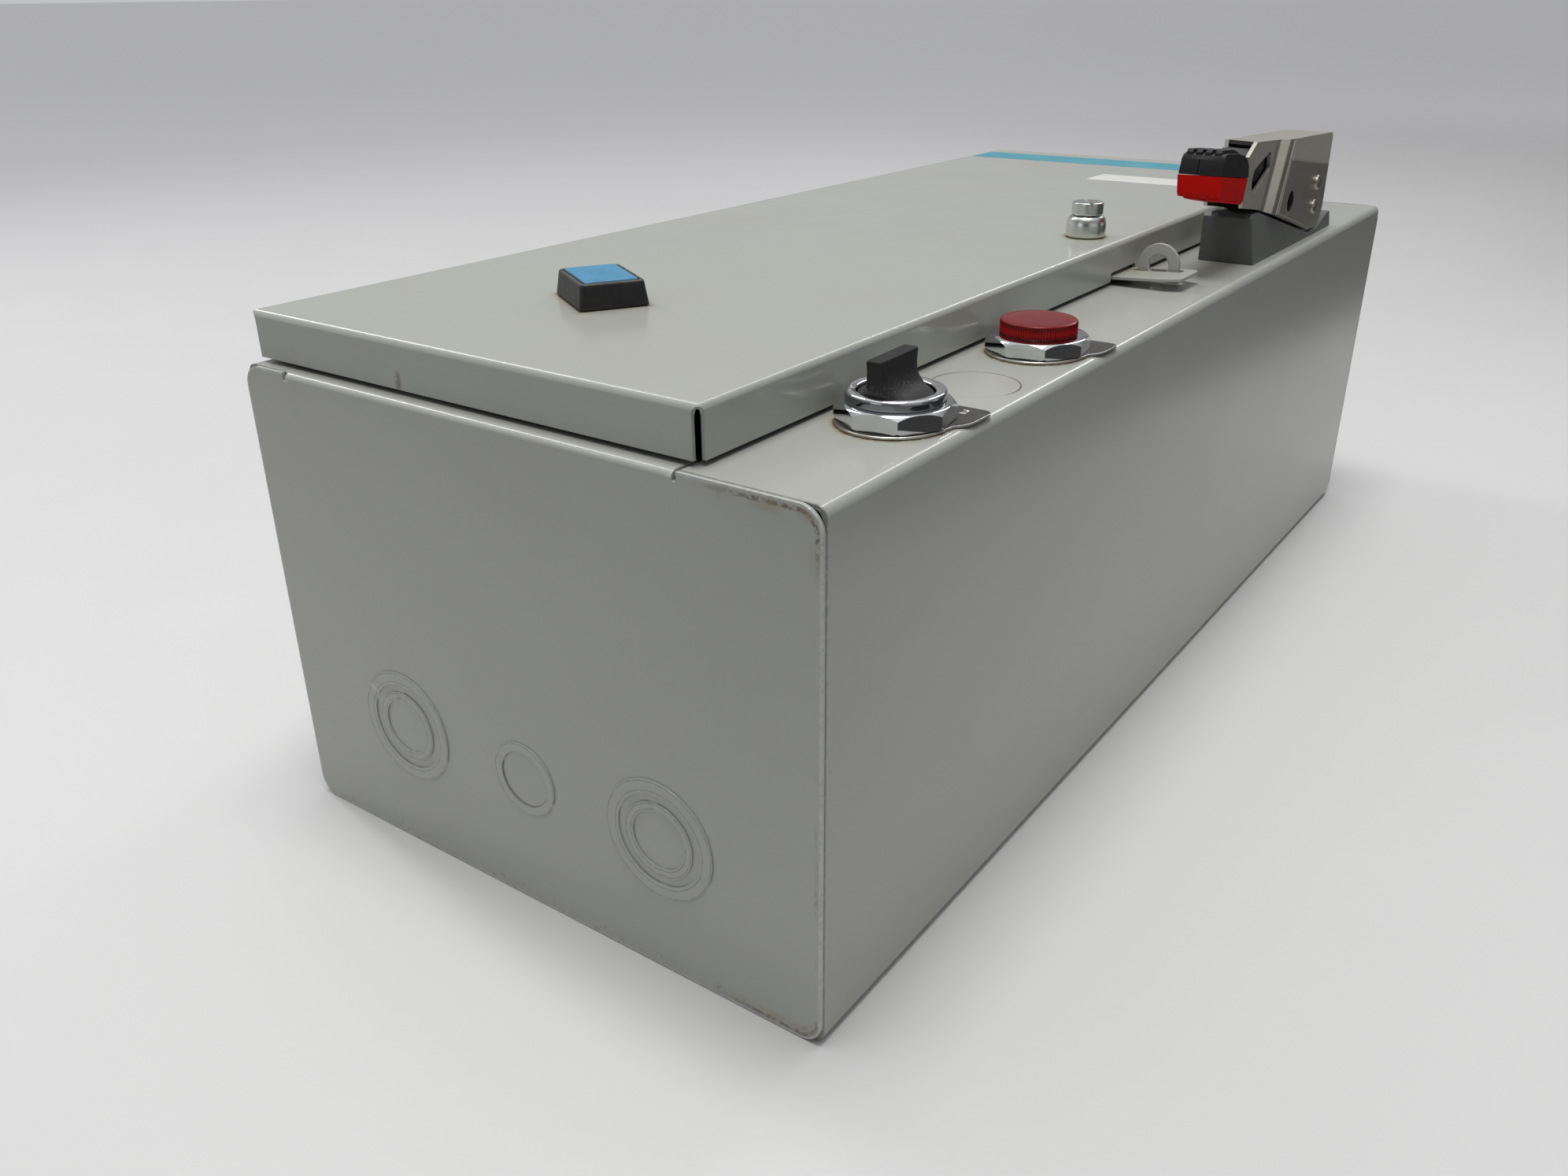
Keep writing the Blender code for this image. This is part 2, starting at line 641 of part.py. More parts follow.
keep(handle_lever, lever_plan("c", 10.0, 13.3, 390.0, 560.0))
cavity = lever_plan("c", 8.0, 11.3, 402.0, 560.0)
under = [(395.0, 200.0), (560.0, 200.0), (560.0, 256.5), (541.0, 257.0), (463.0, 260.0), (410.0, 263.0), (395.0, 254.4)]
keep(cavity, prism("c2", [(fb(y), z) for y, z in under], hx - 30, hx + 30, "x"))
SCREWS = {"upper": (519.8, 233.2), "lower": (519.8, 219.2)}
cut(
    handle_lever,
    cavity,
    rod("c", pv_y, pv_z, 4.0 + GAP, hx - 20, hx + 20, "x", 16),
    *[rod("c", fb(y), z, 2.0, hx + 8, hx + 20, "x", 12) for y, z in SCREWS.values()],
)


def grip_line(y):
    """Height of the parting line between the grip's two halves, which drops towards the lever."""
    return 253.9 - 0.122 * (y - 357.0)


def tongue(name, half, y0, y1, grow):
    return prism(
        name,
        [
            (fb(y0), grip_line(y0) - 2.8 - grow), (fb(y1), grip_line(y1) - 2.8 - grow),
            (fb(y1), grip_line(y1) + 2.8 + grow), (fb(y0), grip_line(y0) + 2.8 + grow),
        ],
        hx - half,
        hx + half,
        "x",
    )


join(handle_lever, tongue("u", 5.0, 372.0, 399.5, 0.0))
origin_at(smooth(handle_lever, 25), (hx, pv_y, pv_z))


def grip(name, outline, mat):
    made = prism(name, [(fb(y), z) for y, z in outline], hx - 10.1, hx + 10.1, "x", mat)
    cut(made, tongue("c", 5.3, 371.6, 405.0, 0.4))
    return origin_at(made, (hx, pv_y, pv_z))


grip(
    "handle_grip_black",
    [
        (357.0, grip_line(357.0) + 0.15), (397.6, grip_line(397.6) + 0.15), (397.2, 254.5), (390.0, 260.2),
        (380.0, 262.8), (362.0, 264.3), (358.0, 261.0),
    ],
    BLACK_PLASTIC,
)
grip(
    "handle_grip_red",
    [(357.0, grip_line(357.0) - 0.15), (358.2, 244.8), (372.0, 242.2), (396.0, 238.2), (397.6, grip_line(397.6) - 0.15)],
    RED_PLASTIC,
)
handle_pivot_pin = rod("handle_pivot_pin", pv_y, pv_z, 4.0, hx - 13.2, hx + 13.2, "x", 16, ZINC)
origin_at(smooth(handle_pivot_pin), (hx, pv_y, pv_z))
for where, (y, z) in SCREWS.items():
    screw = rod(f"handle_screw_{where}", fb(y), z, 1.7, hx + 9.5, hx + 14.6, "x", 12, ZINC)
    join(
        screw,
        rod("u", fb(y), z, 3.4, hx + 13.6, hx + 15.0, "x", 12),
        rod("u", fb(y), z, 2.8, hx + 9.3, hx + 11.0, "x", 6),
    )
    origin_at(smooth(screw), (hx, pv_y, pv_z))

# ------------------------------------------------------------ drive linkage
turn = math.radians(CRANK_ANGLE)
tip_y, tip_z = pv_y + CRANK_R * math.cos(turn), pv_z + CRANK_R * math.sin(turn)


def lever_arm(name, y, z, reach, angle, hub, half, x0, x1, mat):
    """A flat arm with a round hub and a round end, at an angle in the Y-Z plane."""
    a = math.radians(angle)
    end_y, end_z = y + reach * math.cos(a), z + reach * math.sin(a)
    side_y, side_z = -math.sin(a) * half, math.cos(a) * half
    arm = prism(
        name,
        [
            (y + side_y, z + side_z), (y - side_y, z - side_z),
            (end_y - side_y, end_z - side_z), (end_y + side_y, end_z + side_z),
        ],
        x0,
        x1,
        "x",
        mat,
    )
    join(arm, rod("u", y, z, hub, x0, x1, "x", 16), rod("u", end_y, end_z, half + 1.5, x0, x1, "x", 12))
    return arm


drive_crank = lever_arm("drive_crank", pv_y, pv_z, CRANK_R, CRANK_ANGLE, 8.5, 5.0, hx - 2.5, hx + 2.5, ZINC)
join(drive_crank, rod("u", tip_y, tip_z, 3.0, hx - 10.2, hx, "x", 12))
cut(drive_crank, rod("c", pv_y, pv_z, 4.0 + GAP, hx - 20, hx + 20, "x", 16))
origin_at(smooth(drive_crank), (hx, pv_y, pv_z))

cb_y, cb_z = fb(CROSSBAR[0]), CROSSBAR[1]
drop = pv_z - cb_z
LINK_X = (hx - 9.6, hx - 6.0)
drive_link = box("drive_link", (LINK_X[0], tip_y - 5, tip_z - drop), (LINK_X[1], tip_y + 5, tip_z), ZINC)
join(
    drive_link,
    rod("u", tip_y, tip_z, 6.8, *LINK_X, "x", 14),
    rod("u", tip_y, tip_z - drop, 6.8, *LINK_X, "x", 14),
)
cut(
    drive_link,
    rod("c", tip_y, tip_z, 3.0 + GAP, 90, 130, "x", 12),
    rod("c", tip_y, tip_z - drop, 3.0 + GAP, 90, 130, "x", 12),
)
origin_at(smooth(drive_link), (hx, tip_y, tip_z))

ARM_X = (hx - 15.0, hx - 11.0)
crossbar_arm = lever_arm("crossbar_arm", cb_y, cb_z, CRANK_R, CRANK_ANGLE, 11.0, 5.0, *ARM_X, ZINC)
join(crossbar_arm, rod("u", tip_y, tip_z - drop, 3.0, ARM_X[1] - 1.0, LINK_X[1] + 0.6, "x", 12))
origin_at(smooth(crossbar_arm), (hx, cb_y, cb_z))

# -------------------------------------------------------- disconnect switch
pan_top = PAN_Z + SHEET + GAP
switch_base = box("switch_base", (-100, fb(470), pan_top), (70, fb(613), 50), PHENOLIC)
join(
    switch_base,
    box("u", (-100, cb_y - 17, 48), (-93, cb_y + 17, 112)),
    box("u", (63, cb_y - 17, 48), (70, cb_y + 17, 112)),
    box("u", (-41.5, fb(560), 48), (-38.5, fb(611), 106)),
    box("u", (8.5, fb(560), 48), (11.5, fb(611), 106)),
)
cut(switch_base, rod("c", cb_y, cb_z, 8.4, -120, 90, "x", 16))
switch_crossbar = rod("switch_crossbar", cb_y, cb_z, 8.0, -98.5, ARM_X[0] - GAP, "x", 16, PHENOLIC)
origin_at(smooth(switch_crossbar), (hx, cb_y, cb_z))
for pole, x in POLES.items():
    knife = box(f"switch_blade_{pole}", (x - 2, cb_y - 8, cb_z), (x + 2, cb_y + 8, cb_z + 72), COPPER)
    join(knife, rod("u", cb_y, cb_z, 13.0, x - 2, x + 2, "x", 16))
    cut(knife, rod("c", cb_y, cb_z, 8.0 + GAP, -120, 120, "x", 16))
    origin_at(knife, (hx, cb_y, cb_z))
    jaw = box(f"line_jaw_{pole}", (x - 5.4, fb(578), 50.3), (x + 5.4, fb(604), 99), COPPER)
    join(jaw, box("u", (x - 9, fb(576), 50.3), (x + 9, fb(611), 55)))
    cut(jaw, box("c", (x - 2.6, fb(570), 57), (x + 2.6, fb(610), 110)))

# ----------------------------------------------------- pan, starter, wiring
pan_outer = [(-124, 3.5), (-112, 3.5), (-112, PAN_Z + SHEET), (112, PAN_Z + SHEET), (112, 3.5), (124, 3.5)]
pan_inner = [(124, 1.9), (110.4, 1.9), (110.4, PAN_Z), (-110.4, PAN_Z), (-110.4, 1.9), (-124, 1.9)]
mounting_pan = prism("mounting_pan", pan_outer + pan_inner, fb(45), fb(615.4), "y", ZINC)
cut(mounting_pan, *[rod("c", x, fb(y), 2.8, -5, 10, count=8) for x, y in PAN_SCREWS])
for i, (x, y) in enumerate(PAN_SCREWS, 1):
    pan_screw = lathe(
        f"pan_screw_{i}", (x, fb(y)), [(0, 0.3), (2.4, 0.3), (2.4, 3.8), (4.6, 3.8), (4.2, 6.4), (0, 6.8)], 10, ZINC
    )
    smooth(pan_screw)

contactor_base = box("contactor_base", (-62, fb(136), pan_top), (28, fb(226), 84), PHENOLIC)
cut(
    contactor_base,
    box("c", (-48, fb(152), 70), (14, fb(210), 90)),
    *[box("c", (x - 8, fb(130), 52), (x + 8, fb(146), 90)) for x in (-44, -17, 10)],
    *[box("c", (x - 8, fb(216), 52), (x + 8, fb(232), 90)) for x in (-44, -17, 10)],
)
contactor_armature = box("contactor_armature", (-47.4, fb(152.6), 77), (13.4, fb(209.4), 90), PHENOLIC)
origin_at(contactor_armature, (-17, fb(181), 84))
overload_relay = box("overload_relay", (-62, fb(66), pan_top), (28, fb(133), 80), PHENOLIC)
cut(
    overload_relay,
    *[box("c", (x - 8, fb(60), 44), (x + 8, fb(76), 90)) for x in (-44, -17, 10)],
    rod("c", rx, ry, 4.4, 72, 90, count=16),
)
overload_reset_plunger = rod("overload_reset_plunger", rx, ry, 4.0, 78.2, 93.0, count=16, mat=RED_PLASTIC)
origin_at(smooth(overload_reset_plunger), (rx, ry, 85))

for pole, start, stop in (("a", -65.0, -44.0), ("b", -15.0, -17.0), ("c", 35.0, 10.0)):
    curve = bpy.data.curves.new(f"power_lead_{pole}", "CURVE")
    curve.dimensions = "3D"
    curve.bevel_depth = 3.2 * MM
    curve.bevel_resolution = 2
    curve.use_fill_caps = True
    route = curve.splines.new("POLY")
    steps = 16
    route.points.add(steps)
    for i in range(steps + 1):
        t = i / steps
        blend = t * t * (3 - 2 * t)
        y = 469.4 + (219.0 - 469.4) * t
        z = 40.0 + (58.0 - 40.0) * blend + 12.0 * math.sin(math.pi * t) ** 2
        route.points[i].co = (
            (start + (stop - start) * blend) * MM, fb(y) * MM, z * MM, 1.0
        )
    lead = bpy.data.objects.new(f"power_lead_{pole}", curve)
    curve.materials.append(WIRE)
    SCENE.collection.objects.link(lead)

ground_lug = box("ground_lug", (62, fb(60), pan_top), (82, fb(86), 34), COPPER)
cut(ground_lug, rod("c", 72, 24, 6.0, fb(50), fb(95), "y", 12))

for made in bpy.data.objects:
    made.select_set(False)
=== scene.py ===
"""Looks of the enclosed disconnect switch with motor starter, lying on its back.

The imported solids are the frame. Every piece below stands where its solid is, in
the same metres, and rides on the same body. Sizes here are millimetres; heights
along Y are given from the bottom end of the box.
"""

import math

import bmesh
import bpy
from mathutils import Matrix, Vector


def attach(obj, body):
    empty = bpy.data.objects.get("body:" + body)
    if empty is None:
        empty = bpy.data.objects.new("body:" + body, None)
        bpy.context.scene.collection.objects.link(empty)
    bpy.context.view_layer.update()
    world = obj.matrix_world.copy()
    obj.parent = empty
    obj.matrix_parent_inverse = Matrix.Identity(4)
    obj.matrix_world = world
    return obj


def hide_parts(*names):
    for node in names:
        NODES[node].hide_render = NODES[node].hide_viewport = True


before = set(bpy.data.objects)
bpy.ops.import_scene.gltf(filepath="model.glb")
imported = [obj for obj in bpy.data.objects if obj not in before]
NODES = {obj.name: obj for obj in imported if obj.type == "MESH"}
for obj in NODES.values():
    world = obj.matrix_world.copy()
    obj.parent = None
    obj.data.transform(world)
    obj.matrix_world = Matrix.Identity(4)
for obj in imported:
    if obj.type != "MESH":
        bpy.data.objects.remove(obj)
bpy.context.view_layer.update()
SCENE = bpy.context.scene

MM = 0.001
WIDTH, LENGTH, DEPTH = 279.4, 660.4, 203.2
SHEET, GAP = 1.6, 0.3
BODY_BEND, LIP_BEND, FLANGE_BEND = 4.2, 2.6, 1.8
LIP_LEFT, LIP_RIGHT, LIP_RETURN = -113.6, 83.6, 10.0
CAP_RADIUS, CAP_LIP = 9.0, 13.0
DOOR_X, DOOR_Y, DOOR_Z = (-139.2, 89.8), (6.35, 654.05), (205.1, 223.9)
DOOR_BEND, DOOR_SLIT = 3.0, 3.0
DOOR_TOP = DOOR_Z[1]
HINGE_AXIS, HINGE_R, HINGE_PIN_R = (-144.2, 206.0), 4.2, 2.2
HINGE_AT, HINGE_LENGTH = {"lower": 130.0, "upper": 530.0}, 60.0
CONTROL_X, SELECTOR_Y, PILOT_Y, SPARE_Y = 114.2, 81.6, 192.5, 136.5
CONTROL_HOLE_R, NUT_FLATS = 15.25, 39.0
LATCH, RESET, RESET_TURN = (70.5, 336.0), (-33.3, 96.6), -31.0
HASP_Y, STAPLE = (327.5, 356.0), (105.0, 349.5)
HANDLE_X, PIVOT = 117.4, (529.0, 226.0)
CRANK_SLOT_Y = (486.0, 562.0)
MOUNT_HOLES = [(x, y) for x in (-100.0, 100.0) for y in (32.0, 628.4)]
PAN_SCREWS = [(x, y) for x in (-119.0, 119.0) for y in (70.0, 590.0)]
POLES = {"a": -65.0, "b": -15.0, "c": 35.0}
PAN_TOP = 12.0 + SHEET + GAP
KNOCKOUTS = (-69.0, 0.5, 69.0)
KNOCKOUT_Z = 59.0


def fb(y):
    """A height from the bottom end, as a Y coordinate."""
    return y - LENGTH / 2


# ------------------------------------------------------------------ materials
class Num:
    """A number that differs over a surface; arithmetic on it adds nodes."""

    def __init__(self, tree, socket):
        self.tree, self.socket = tree, socket

    def math(self, operation, *others, clamp=False, swap=False):
        node = self.tree.nodes.new("ShaderNodeMath")
        node.operation = operation
        node.use_clamp = clamp
        values = (*others, self) if swap else (self, *others)
        for slot, value in zip(node.inputs, values):
            if isinstance(value, Num):
                self.tree.links.new(value.socket, slot)
            else:
                slot.default_value = value
        return Num(self.tree, node.outputs[0])

    def __add__(self, other):
        return self.math("ADD", other)

    __radd__ = __add__

    def __sub__(self, other):
        return self.math("SUBTRACT", other)

    def __rsub__(self, other):
        return self.math("SUBTRACT", other, swap=True)

    def __mul__(self, other):
        return self.math("MULTIPLY", other)

    __rmul__ = __mul__

    def __truediv__(self, other):
        return self.math("DIVIDE", other)

    def __pow__(self, other):
        return self.math("POWER", other)

    def __abs__(self):
        return self.math("ABSOLUTE")

    def above(self, low):
        return self.math("MAXIMUM", low)

    def below(self, high):
        return self.math("MINIMUM", high)

    def root(self):
        return self.math("SQRT")

    def step(self, start, stop):
        """0 at start, 1 at stop, smooth between and held beyond."""
        node = self.tree.nodes.new("ShaderNodeMapRange")
        node.interpolation_type = "SMOOTHSTEP"
        flip = start > stop
        self.tree.links.new(self.socket, node.inputs["Value"])
        node.inputs["From Min"].default_value = min(start, stop)
        node.inputs["From Max"].default_value = max(start, stop)
        node.inputs["To Min"].default_value = 1.0 if flip else 0.0
        node.inputs["To Max"].default_value = 0.0 if flip else 1.0
        return Num(self.tree, node.outputs["Result"])

    def span(self, low, high):
        """The number, 0 to 1, spread over low to high."""
        node = self.tree.nodes.new("ShaderNodeMapRange")
        self.tree.links.new(self.socket, node.inputs["Value"])
        node.inputs["To Min"].default_value = low
        node.inputs["To Max"].default_value = high
        return Num(self.tree, node.outputs["Result"])

    def line(self, at, half, soft):
        """1 where the number is within half of at, fading over soft."""
        return abs(self - at).step(half + soft, half)


class Skin:
    """A material made of nodes, laid out in millimetres of the object's own frame."""

    def __init__(self, name, colour, roughness, metallic=0.0):
        self.made = bpy.data.materials.new(name)
        self.made.use_nodes = True
        self.tree = self.made.node_tree
        self.shader = self.tree.nodes["Principled BSDF"]
        self.shader.inputs["Base Color"].default_value = (*colour, 1.0)
        self.shader.inputs["Roughness"].default_value = roughness
        self.shader.inputs["Metallic"].default_value = metallic
        self.colour = (*colour, 1.0)
        self.heights = []
        coords = self.tree.nodes.new("ShaderNodeTexCoord")
        scale = self.tree.nodes.new("ShaderNodeVectorMath")
        scale.operation = "SCALE"
        scale.inputs["Scale"].default_value = 1000.0
        self.tree.links.new(coords.outputs["Object"], scale.inputs[0])
        self.mm = scale.outputs[0]
        self.x, self.y, self.z = self.split(self.mm)
        self.nx, self.ny, self.nz = self.split(coords.outputs["Normal"])

    def split(self, socket):
        node = self.tree.nodes.new("ShaderNodeSeparateXYZ")
        self.tree.links.new(socket, node.inputs[0])
        return [Num(self.tree, out) for out in node.outputs]

    def stretched(self, stretch, offset):
        node = self.tree.nodes.new("ShaderNodeVectorMath")
        node.operation = "MULTIPLY_ADD"
        self.tree.links.new(self.mm, node.inputs[0])
        node.inputs[1].default_value = stretch
        node.inputs[2].default_value = offset
        return node.outputs[0]

    def noise(self, size, detail=2.0, roughness=0.5, stretch=(1, 1, 1), offset=(0, 0, 0), distortion=0.0):
        """Cloudy noise from 0 to 1, with features about size millimetres wide."""
        node = self.tree.nodes.new("ShaderNodeTexNoise")
        self.tree.links.new(self.stretched(stretch, offset), node.inputs["Vector"])
        node.inputs["Scale"].default_value = 1.0 / size
        node.inputs["Detail"].default_value = detail
        node.inputs["Roughness"].default_value = roughness
        node.inputs["Distortion"].default_value = distortion
        return Num(self.tree, node.outputs["Fac"])

    def cells(self, size, stretch=(1, 1, 1), offset=(0, 0, 0), feature="F1"):
        node = self.tree.nodes.new("ShaderNodeTexVoronoi")
        node.feature = feature
        self.tree.links.new(self.stretched(stretch, offset), node.inputs["Vector"])
        node.inputs["Scale"].default_value = 1.0 / size
        return Num(self.tree, node.outputs["Distance"])

    def mix(self, under, over, amount):
        node = self.tree.nodes.new("ShaderNodeMix")
        node.data_type = "RGBA"
        self.tree.links.new(amount.socket, node.inputs[0])
        for slot, value in ((node.inputs[6], under), (node.inputs[7], over)):
            if isinstance(value, tuple):
                slot.default_value = value if len(value) == 4 else (*value, 1.0)
            else:
                self.tree.links.new(value, slot)
        return node.outputs[2]

    def coat(self, colour, amount):
        """Lays a colour over what is there."""
        self.colour = self.mix(self.colour, colour, amount)
        return self

    def rough(self, number):
        self.tree.links.new(number.socket, self.shader.inputs["Roughness"])
        return self

    def metal(self, number):
        self.tree.links.new(number.socket, self.shader.inputs["Metallic"])
        return self

    def raise_by(self, number):
        """Adds a height in millimetres to the bump."""
        self.heights.append(number)
        return self

    def done(self, strength=1.0):
        if not isinstance(self.colour, tuple):
            self.tree.links.new(self.colour, self.shader.inputs["Base Color"])
        if self.heights:
            total = self.heights[0]
            for more in self.heights[1:]:
                total = total + more
            bump = self.tree.nodes.new("ShaderNodeBump")
            bump.inputs["Strength"].default_value = strength
            bump.inputs["Distance"].default_value = MM
            self.tree.links.new(total.socket, bump.inputs["Height"])
            self.tree.links.new(bump.outputs["Normal"], self.shader.inputs["Normal"])
        return self.made

    def around(self, x, y):
        """Distance in the X-Y plane from a point, in millimetres."""
        return ((self.x - x) ** 2.0 + (self.y - y) ** 2.0).root()


ENAMEL = (0.372, 0.384, 0.352)
ENAMEL_DARK = (0.345, 0.355, 0.322)
BROWN = (0.085, 0.060, 0.034)
GRIME = (0.060, 0.052, 0.040)
TAN = (0.300, 0.255, 0.175)
# Pale paint: real chips, and along the end caps' rims a painted highlight as well.
PALE_CHIP_AND_SHEEN = (0.560, 0.570, 0.550)


def enamel(name):
    """Baked grey enamel: orange peel, faint mottling, fine specks and rubbed patches."""
    skin = Skin(name, ENAMEL, 0.22)
    skin.coat(ENAMEL_DARK, skin.noise(60.0, 3.0).step(0.35, 0.75) * 0.30)
    skin.coat((0.405, 0.412, 0.382), skin.noise(0.9, 2.0, offset=(7, 3, 1)).step(0.50, 0.8) * 0.30)
    skin.coat((0.335, 0.340, 0.310), skin.noise(0.8, 2.0, offset=(2, 8, 5)).step(0.52, 0.8) * 0.28)
    specks = skin.cells(21.0, offset=(3, 11, 5)).step(0.022, 0.012) * skin.noise(40.0, offset=(9, 1, 4)).step(0.45, 0.6)
    skin.coat(GRIME, specks * 0.6)
    worn = skin.noise(35.0, 4.0, 0.6, offset=(21, 5, 2))
    skin.rough(worn.span(0.13, 0.24))
    skin.raise_by(skin.noise(2.4, 1.0) * 0.011)
    skin.raise_by(skin.noise(0.7, 1.0, offset=(4, 4, 4)) * 0.0016)
    return skin


def wrap_skin():
    skin = enamel("enamel_wrap")
    top = skin.nz.step(0.5, 0.9)
    rough_edge = skin.noise(2.2, 3.0, 0.6)
    wide = skin.noise(14.0, 3.0, offset=(2, 9, 0))
    # Dirt that crept out from under the two legend plates.
    for y in (SELECTOR_Y, PILOT_Y):
        away = (((skin.x - CONTROL_X) * 1.082) ** 2.0 + (skin.y - fb(y)) ** 2.0).root()
        below = (skin.y - fb(y)).step(14.0, -4.0)
        ring = away.step(25.2, 22.2) * away.step(19.6, 21.6)
        skin.coat(TAN, ring * below * top * rough_edge.step(0.25, 0.62) * 0.95)
        thin = away.line(22.3, 0.22, 0.45) * below * top * rough_edge.step(0.30, 0.55)
        skin.coat(BROWN, thin * 0.85)
        stain = away.step(34.0, 23.0) * below * top * wide.step(0.4, 0.75)
        skin.coat(TAN, stain * 0.25)
    # The unused control knockout: a dark hairline, dirt plus painted shade, darkest on its far arc.
    away = skin.around(115.8, fb(SPARE_Y))
    line = away.line(16.9, 0.16, 0.32) * top * (skin.y - fb(SPARE_Y)).step(-9.0, -2.0).span(0.12, 1.0)
    skin.coat((0.135, 0.095, 0.045), line * rough_edge.step(0.25, 0.5) * 0.9)
    skin.coat(TAN, away.line(16.9, 0.5, 1.0) * top * wide.step(0.45, 0.7) * 0.35)
    # Old glue and dust by the padlock ring, and dust where the door shades the flange.
    away = skin.around(STAPLE[0] - 9.0, fb(STAPLE[1] - 3.0))
    skin.coat((0.38, 0.335, 0.225), away.step(17.0, 4.0) * top * wide.step(0.3, 0.65) * 0.7)
    away = skin.around(HANDLE_X - 3.0, fb(412.0))
    skin.coat((0.36, 0.32, 0.23), away.step(15.0, 5.0) * top * wide.step(0.35, 0.7) * 0.45)
    # Dark seam along both end caps, with smears of rust at the corners.
    near = (abs(skin.y) - (LENGTH / 2 - 2.6)).step(-0.5, 0.5)
    skin.coat(GRIME, near * rough_edge.step(0.1, 0.6) * 0.55)
    smear = (abs(skin.y) - (LENGTH / 2 - 7.0)).step(-5.0, 4.5)
    corner = (abs(skin.x) - 120.0).step(-14.0, 12.0)
    skin.coat(BROWN, smear * corner * rough_edge.step(0.55, 0.78) * 0.16)
    # Scraped paint low on the sides, where the box has been slid about.
    low = skin.z.step(26.0, 1.0)
    skin.coat(GRIME, low * skin.noise(5.0, 4.0, 0.65, stretch=(1, 0.35, 1)).step(0.58, 0.80) * 0.18)
    return skin.done()


def cap_skin():
    skin = enamel("enamel_end_cap")
    half = Vector((WIDTH / 2 - CAP_RADIUS, DEPTH / 2 - CAP_RADIUS))
    dx = (abs(skin.x) - half.x).above(0.0)
    dz = (abs(skin.z - DEPTH / 2) - half.y).above(0.0)
    inside = (abs(skin.x) - half.x).math("MAXIMUM", abs(skin.z - DEPTH / 2) - half.y).below(0.0)
    depth = CAP_RADIUS - (dx * dx + dz * dz).root() - inside
    rough_edge = skin.noise(1.8, 3.0, 0.65)
    wide = skin.noise(11.0, 3.0, offset=(5, 2, 8))
    outer = (abs(skin.y) - (LENGTH / 2 - 0.9)).step(-0.3, 0.3)
    # A pale band along the edge, rubbed paint plus a painted highlight, then a line of rusty dirt just inside it.
    skin.coat(PALE_CHIP_AND_SHEEN, depth.step(1.3, 0.5) * outer * rough_edge.step(0.30, 0.6) * 0.55)
    right = skin.x.step(88.0, 118.0)
    upper = (skin.z.step(176.0, 197.0) + skin.z.step(12.0, 5.0) * 0.9).below(1.0)
    corner = right * upper
    patch = skin.noise(26.0, 3.0, offset=(4, 4, 11)).step(0.48, 0.66)
    sides = ((skin.x - 134.0).step(-6.0, 4.0) * patch * 0.42 + corner).below(1.0)
    line = depth.line(1.9, 0.30, 0.9) * rough_edge.step(0.38, 0.58)
    skin.coat(BROWN, line * sides * outer * 0.85)
    skin.coat(TAN, depth.line(3.0, 1.2, 2.2) * corner * outer * wide.step(0.35, 0.65) * 0.55)
    # Chipped corners of the lip, and dark lines along the knockouts' shear lines: dust plus painted shade.
    for x in (LIP_LEFT + 1.0, LIP_RIGHT - 1.0):
        away = ((skin.x - x) ** 2.0 + (skin.z - 201.5) ** 2.0).root()
        skin.coat(PALE_CHIP_AND_SHEEN, away.step(2.2, 0.9) * rough_edge.step(0.45, 0.6) * 0.5)
    for x in KNOCKOUTS:
        away = ((skin.x - x) ** 2.0 + (skin.z - KNOCKOUT_Z) ** 2.0).root()
        radii = (12.0, 15.7) if x == KNOCKOUTS[1] else (12.9, 15.2, 20.6, 24.4)
        for radius in radii:
            skin.coat(GRIME, away.line(radius, 0.10, 0.22) * outer * rough_edge.step(0.2, 0.6) * 0.45)
    low = skin.z.step(9.0, 1.0)
    skin.coat(BROWN, low * skin.noise(3.0, 4.0, 0.65).step(0.55, 0.72) * outer * 0.45)
    return skin.done()


def door_skin():
    skin = enamel("enamel_door")
    top = skin.nz.step(0.5, 0.9)
    rough_edge = skin.noise(1.6, 3.0, 0.65)
    wide = skin.noise(12.0, 3.0, offset=(1, 2, 3))
    # Dirt ring under the latch.
    away = skin.around(LATCH[0], fb(LATCH[1]))
    skin.coat(TAN, away.step(14.5, 10.0) * top * rough_edge.step(0.25, 0.6) * 0.85)
    skin.coat(BROWN, away.step(11.0, 9.9) * top * 0.8)
    # Dirt at the foot of the reset button, in the button's own turned frame.
    turn = math.radians(RESET_TURN)
    dx, dy = skin.x - RESET[0], skin.y - fb(RESET[1])
    u = dx * math.cos(turn) + dy * math.sin(turn)
    v = dy * math.cos(turn) - dx * math.sin(turn)
    out = (abs(u) - 19.2).math("MAXIMUM", abs(v) - 14.3)
    skin.coat(TAN, out.step(4.0, 0.2) * top * rough_edge.step(0.2, 0.6) * 0.75)
    skin.coat(BROWN, out.step(0.9, 0.1) * top * 0.75)
    # One rusty run on the near flange, and dust along the bends.
    run = abs(skin.x + 52.0).step(2.4, 0.5) * abs(skin.z - 208.5).step(5.0, 1.5)
    near = (skin.y - fb(9.0)).step(2.0, -1.0)
    skin.coat((0.16, 0.125, 0.075), run * near * rough_edge.step(0.30, 0.55) * 0.8)
    # Chips along the folded edges.
    edge = skin.z.step(206.6, 205.4) * rough_edge.step(0.62, 0.70)
    skin.coat(PALE_CHIP_AND_SHEEN, edge * 0.8)
    fold = skin.noise(3.0, 4.0, 0.7, offset=(8, 8, 1)).step(0.70, 0.76) * abs(skin.z - 222.2).step(1.8, 0.6)
    skin.coat((0.46, 0.47, 0.45), fold * 0.7)
    smudge = skin.noise(80.0, 4.0, 0.6, offset=(31, 7, 2)).step(0.5, 0.8)
    skin.coat((0.36, 0.355, 0.315), smudge * top * 0.5)
    skin.raise_by(skin.noise(190.0, 1.0, offset=(3, 5, 7)) * 0.55)
    return skin.done()


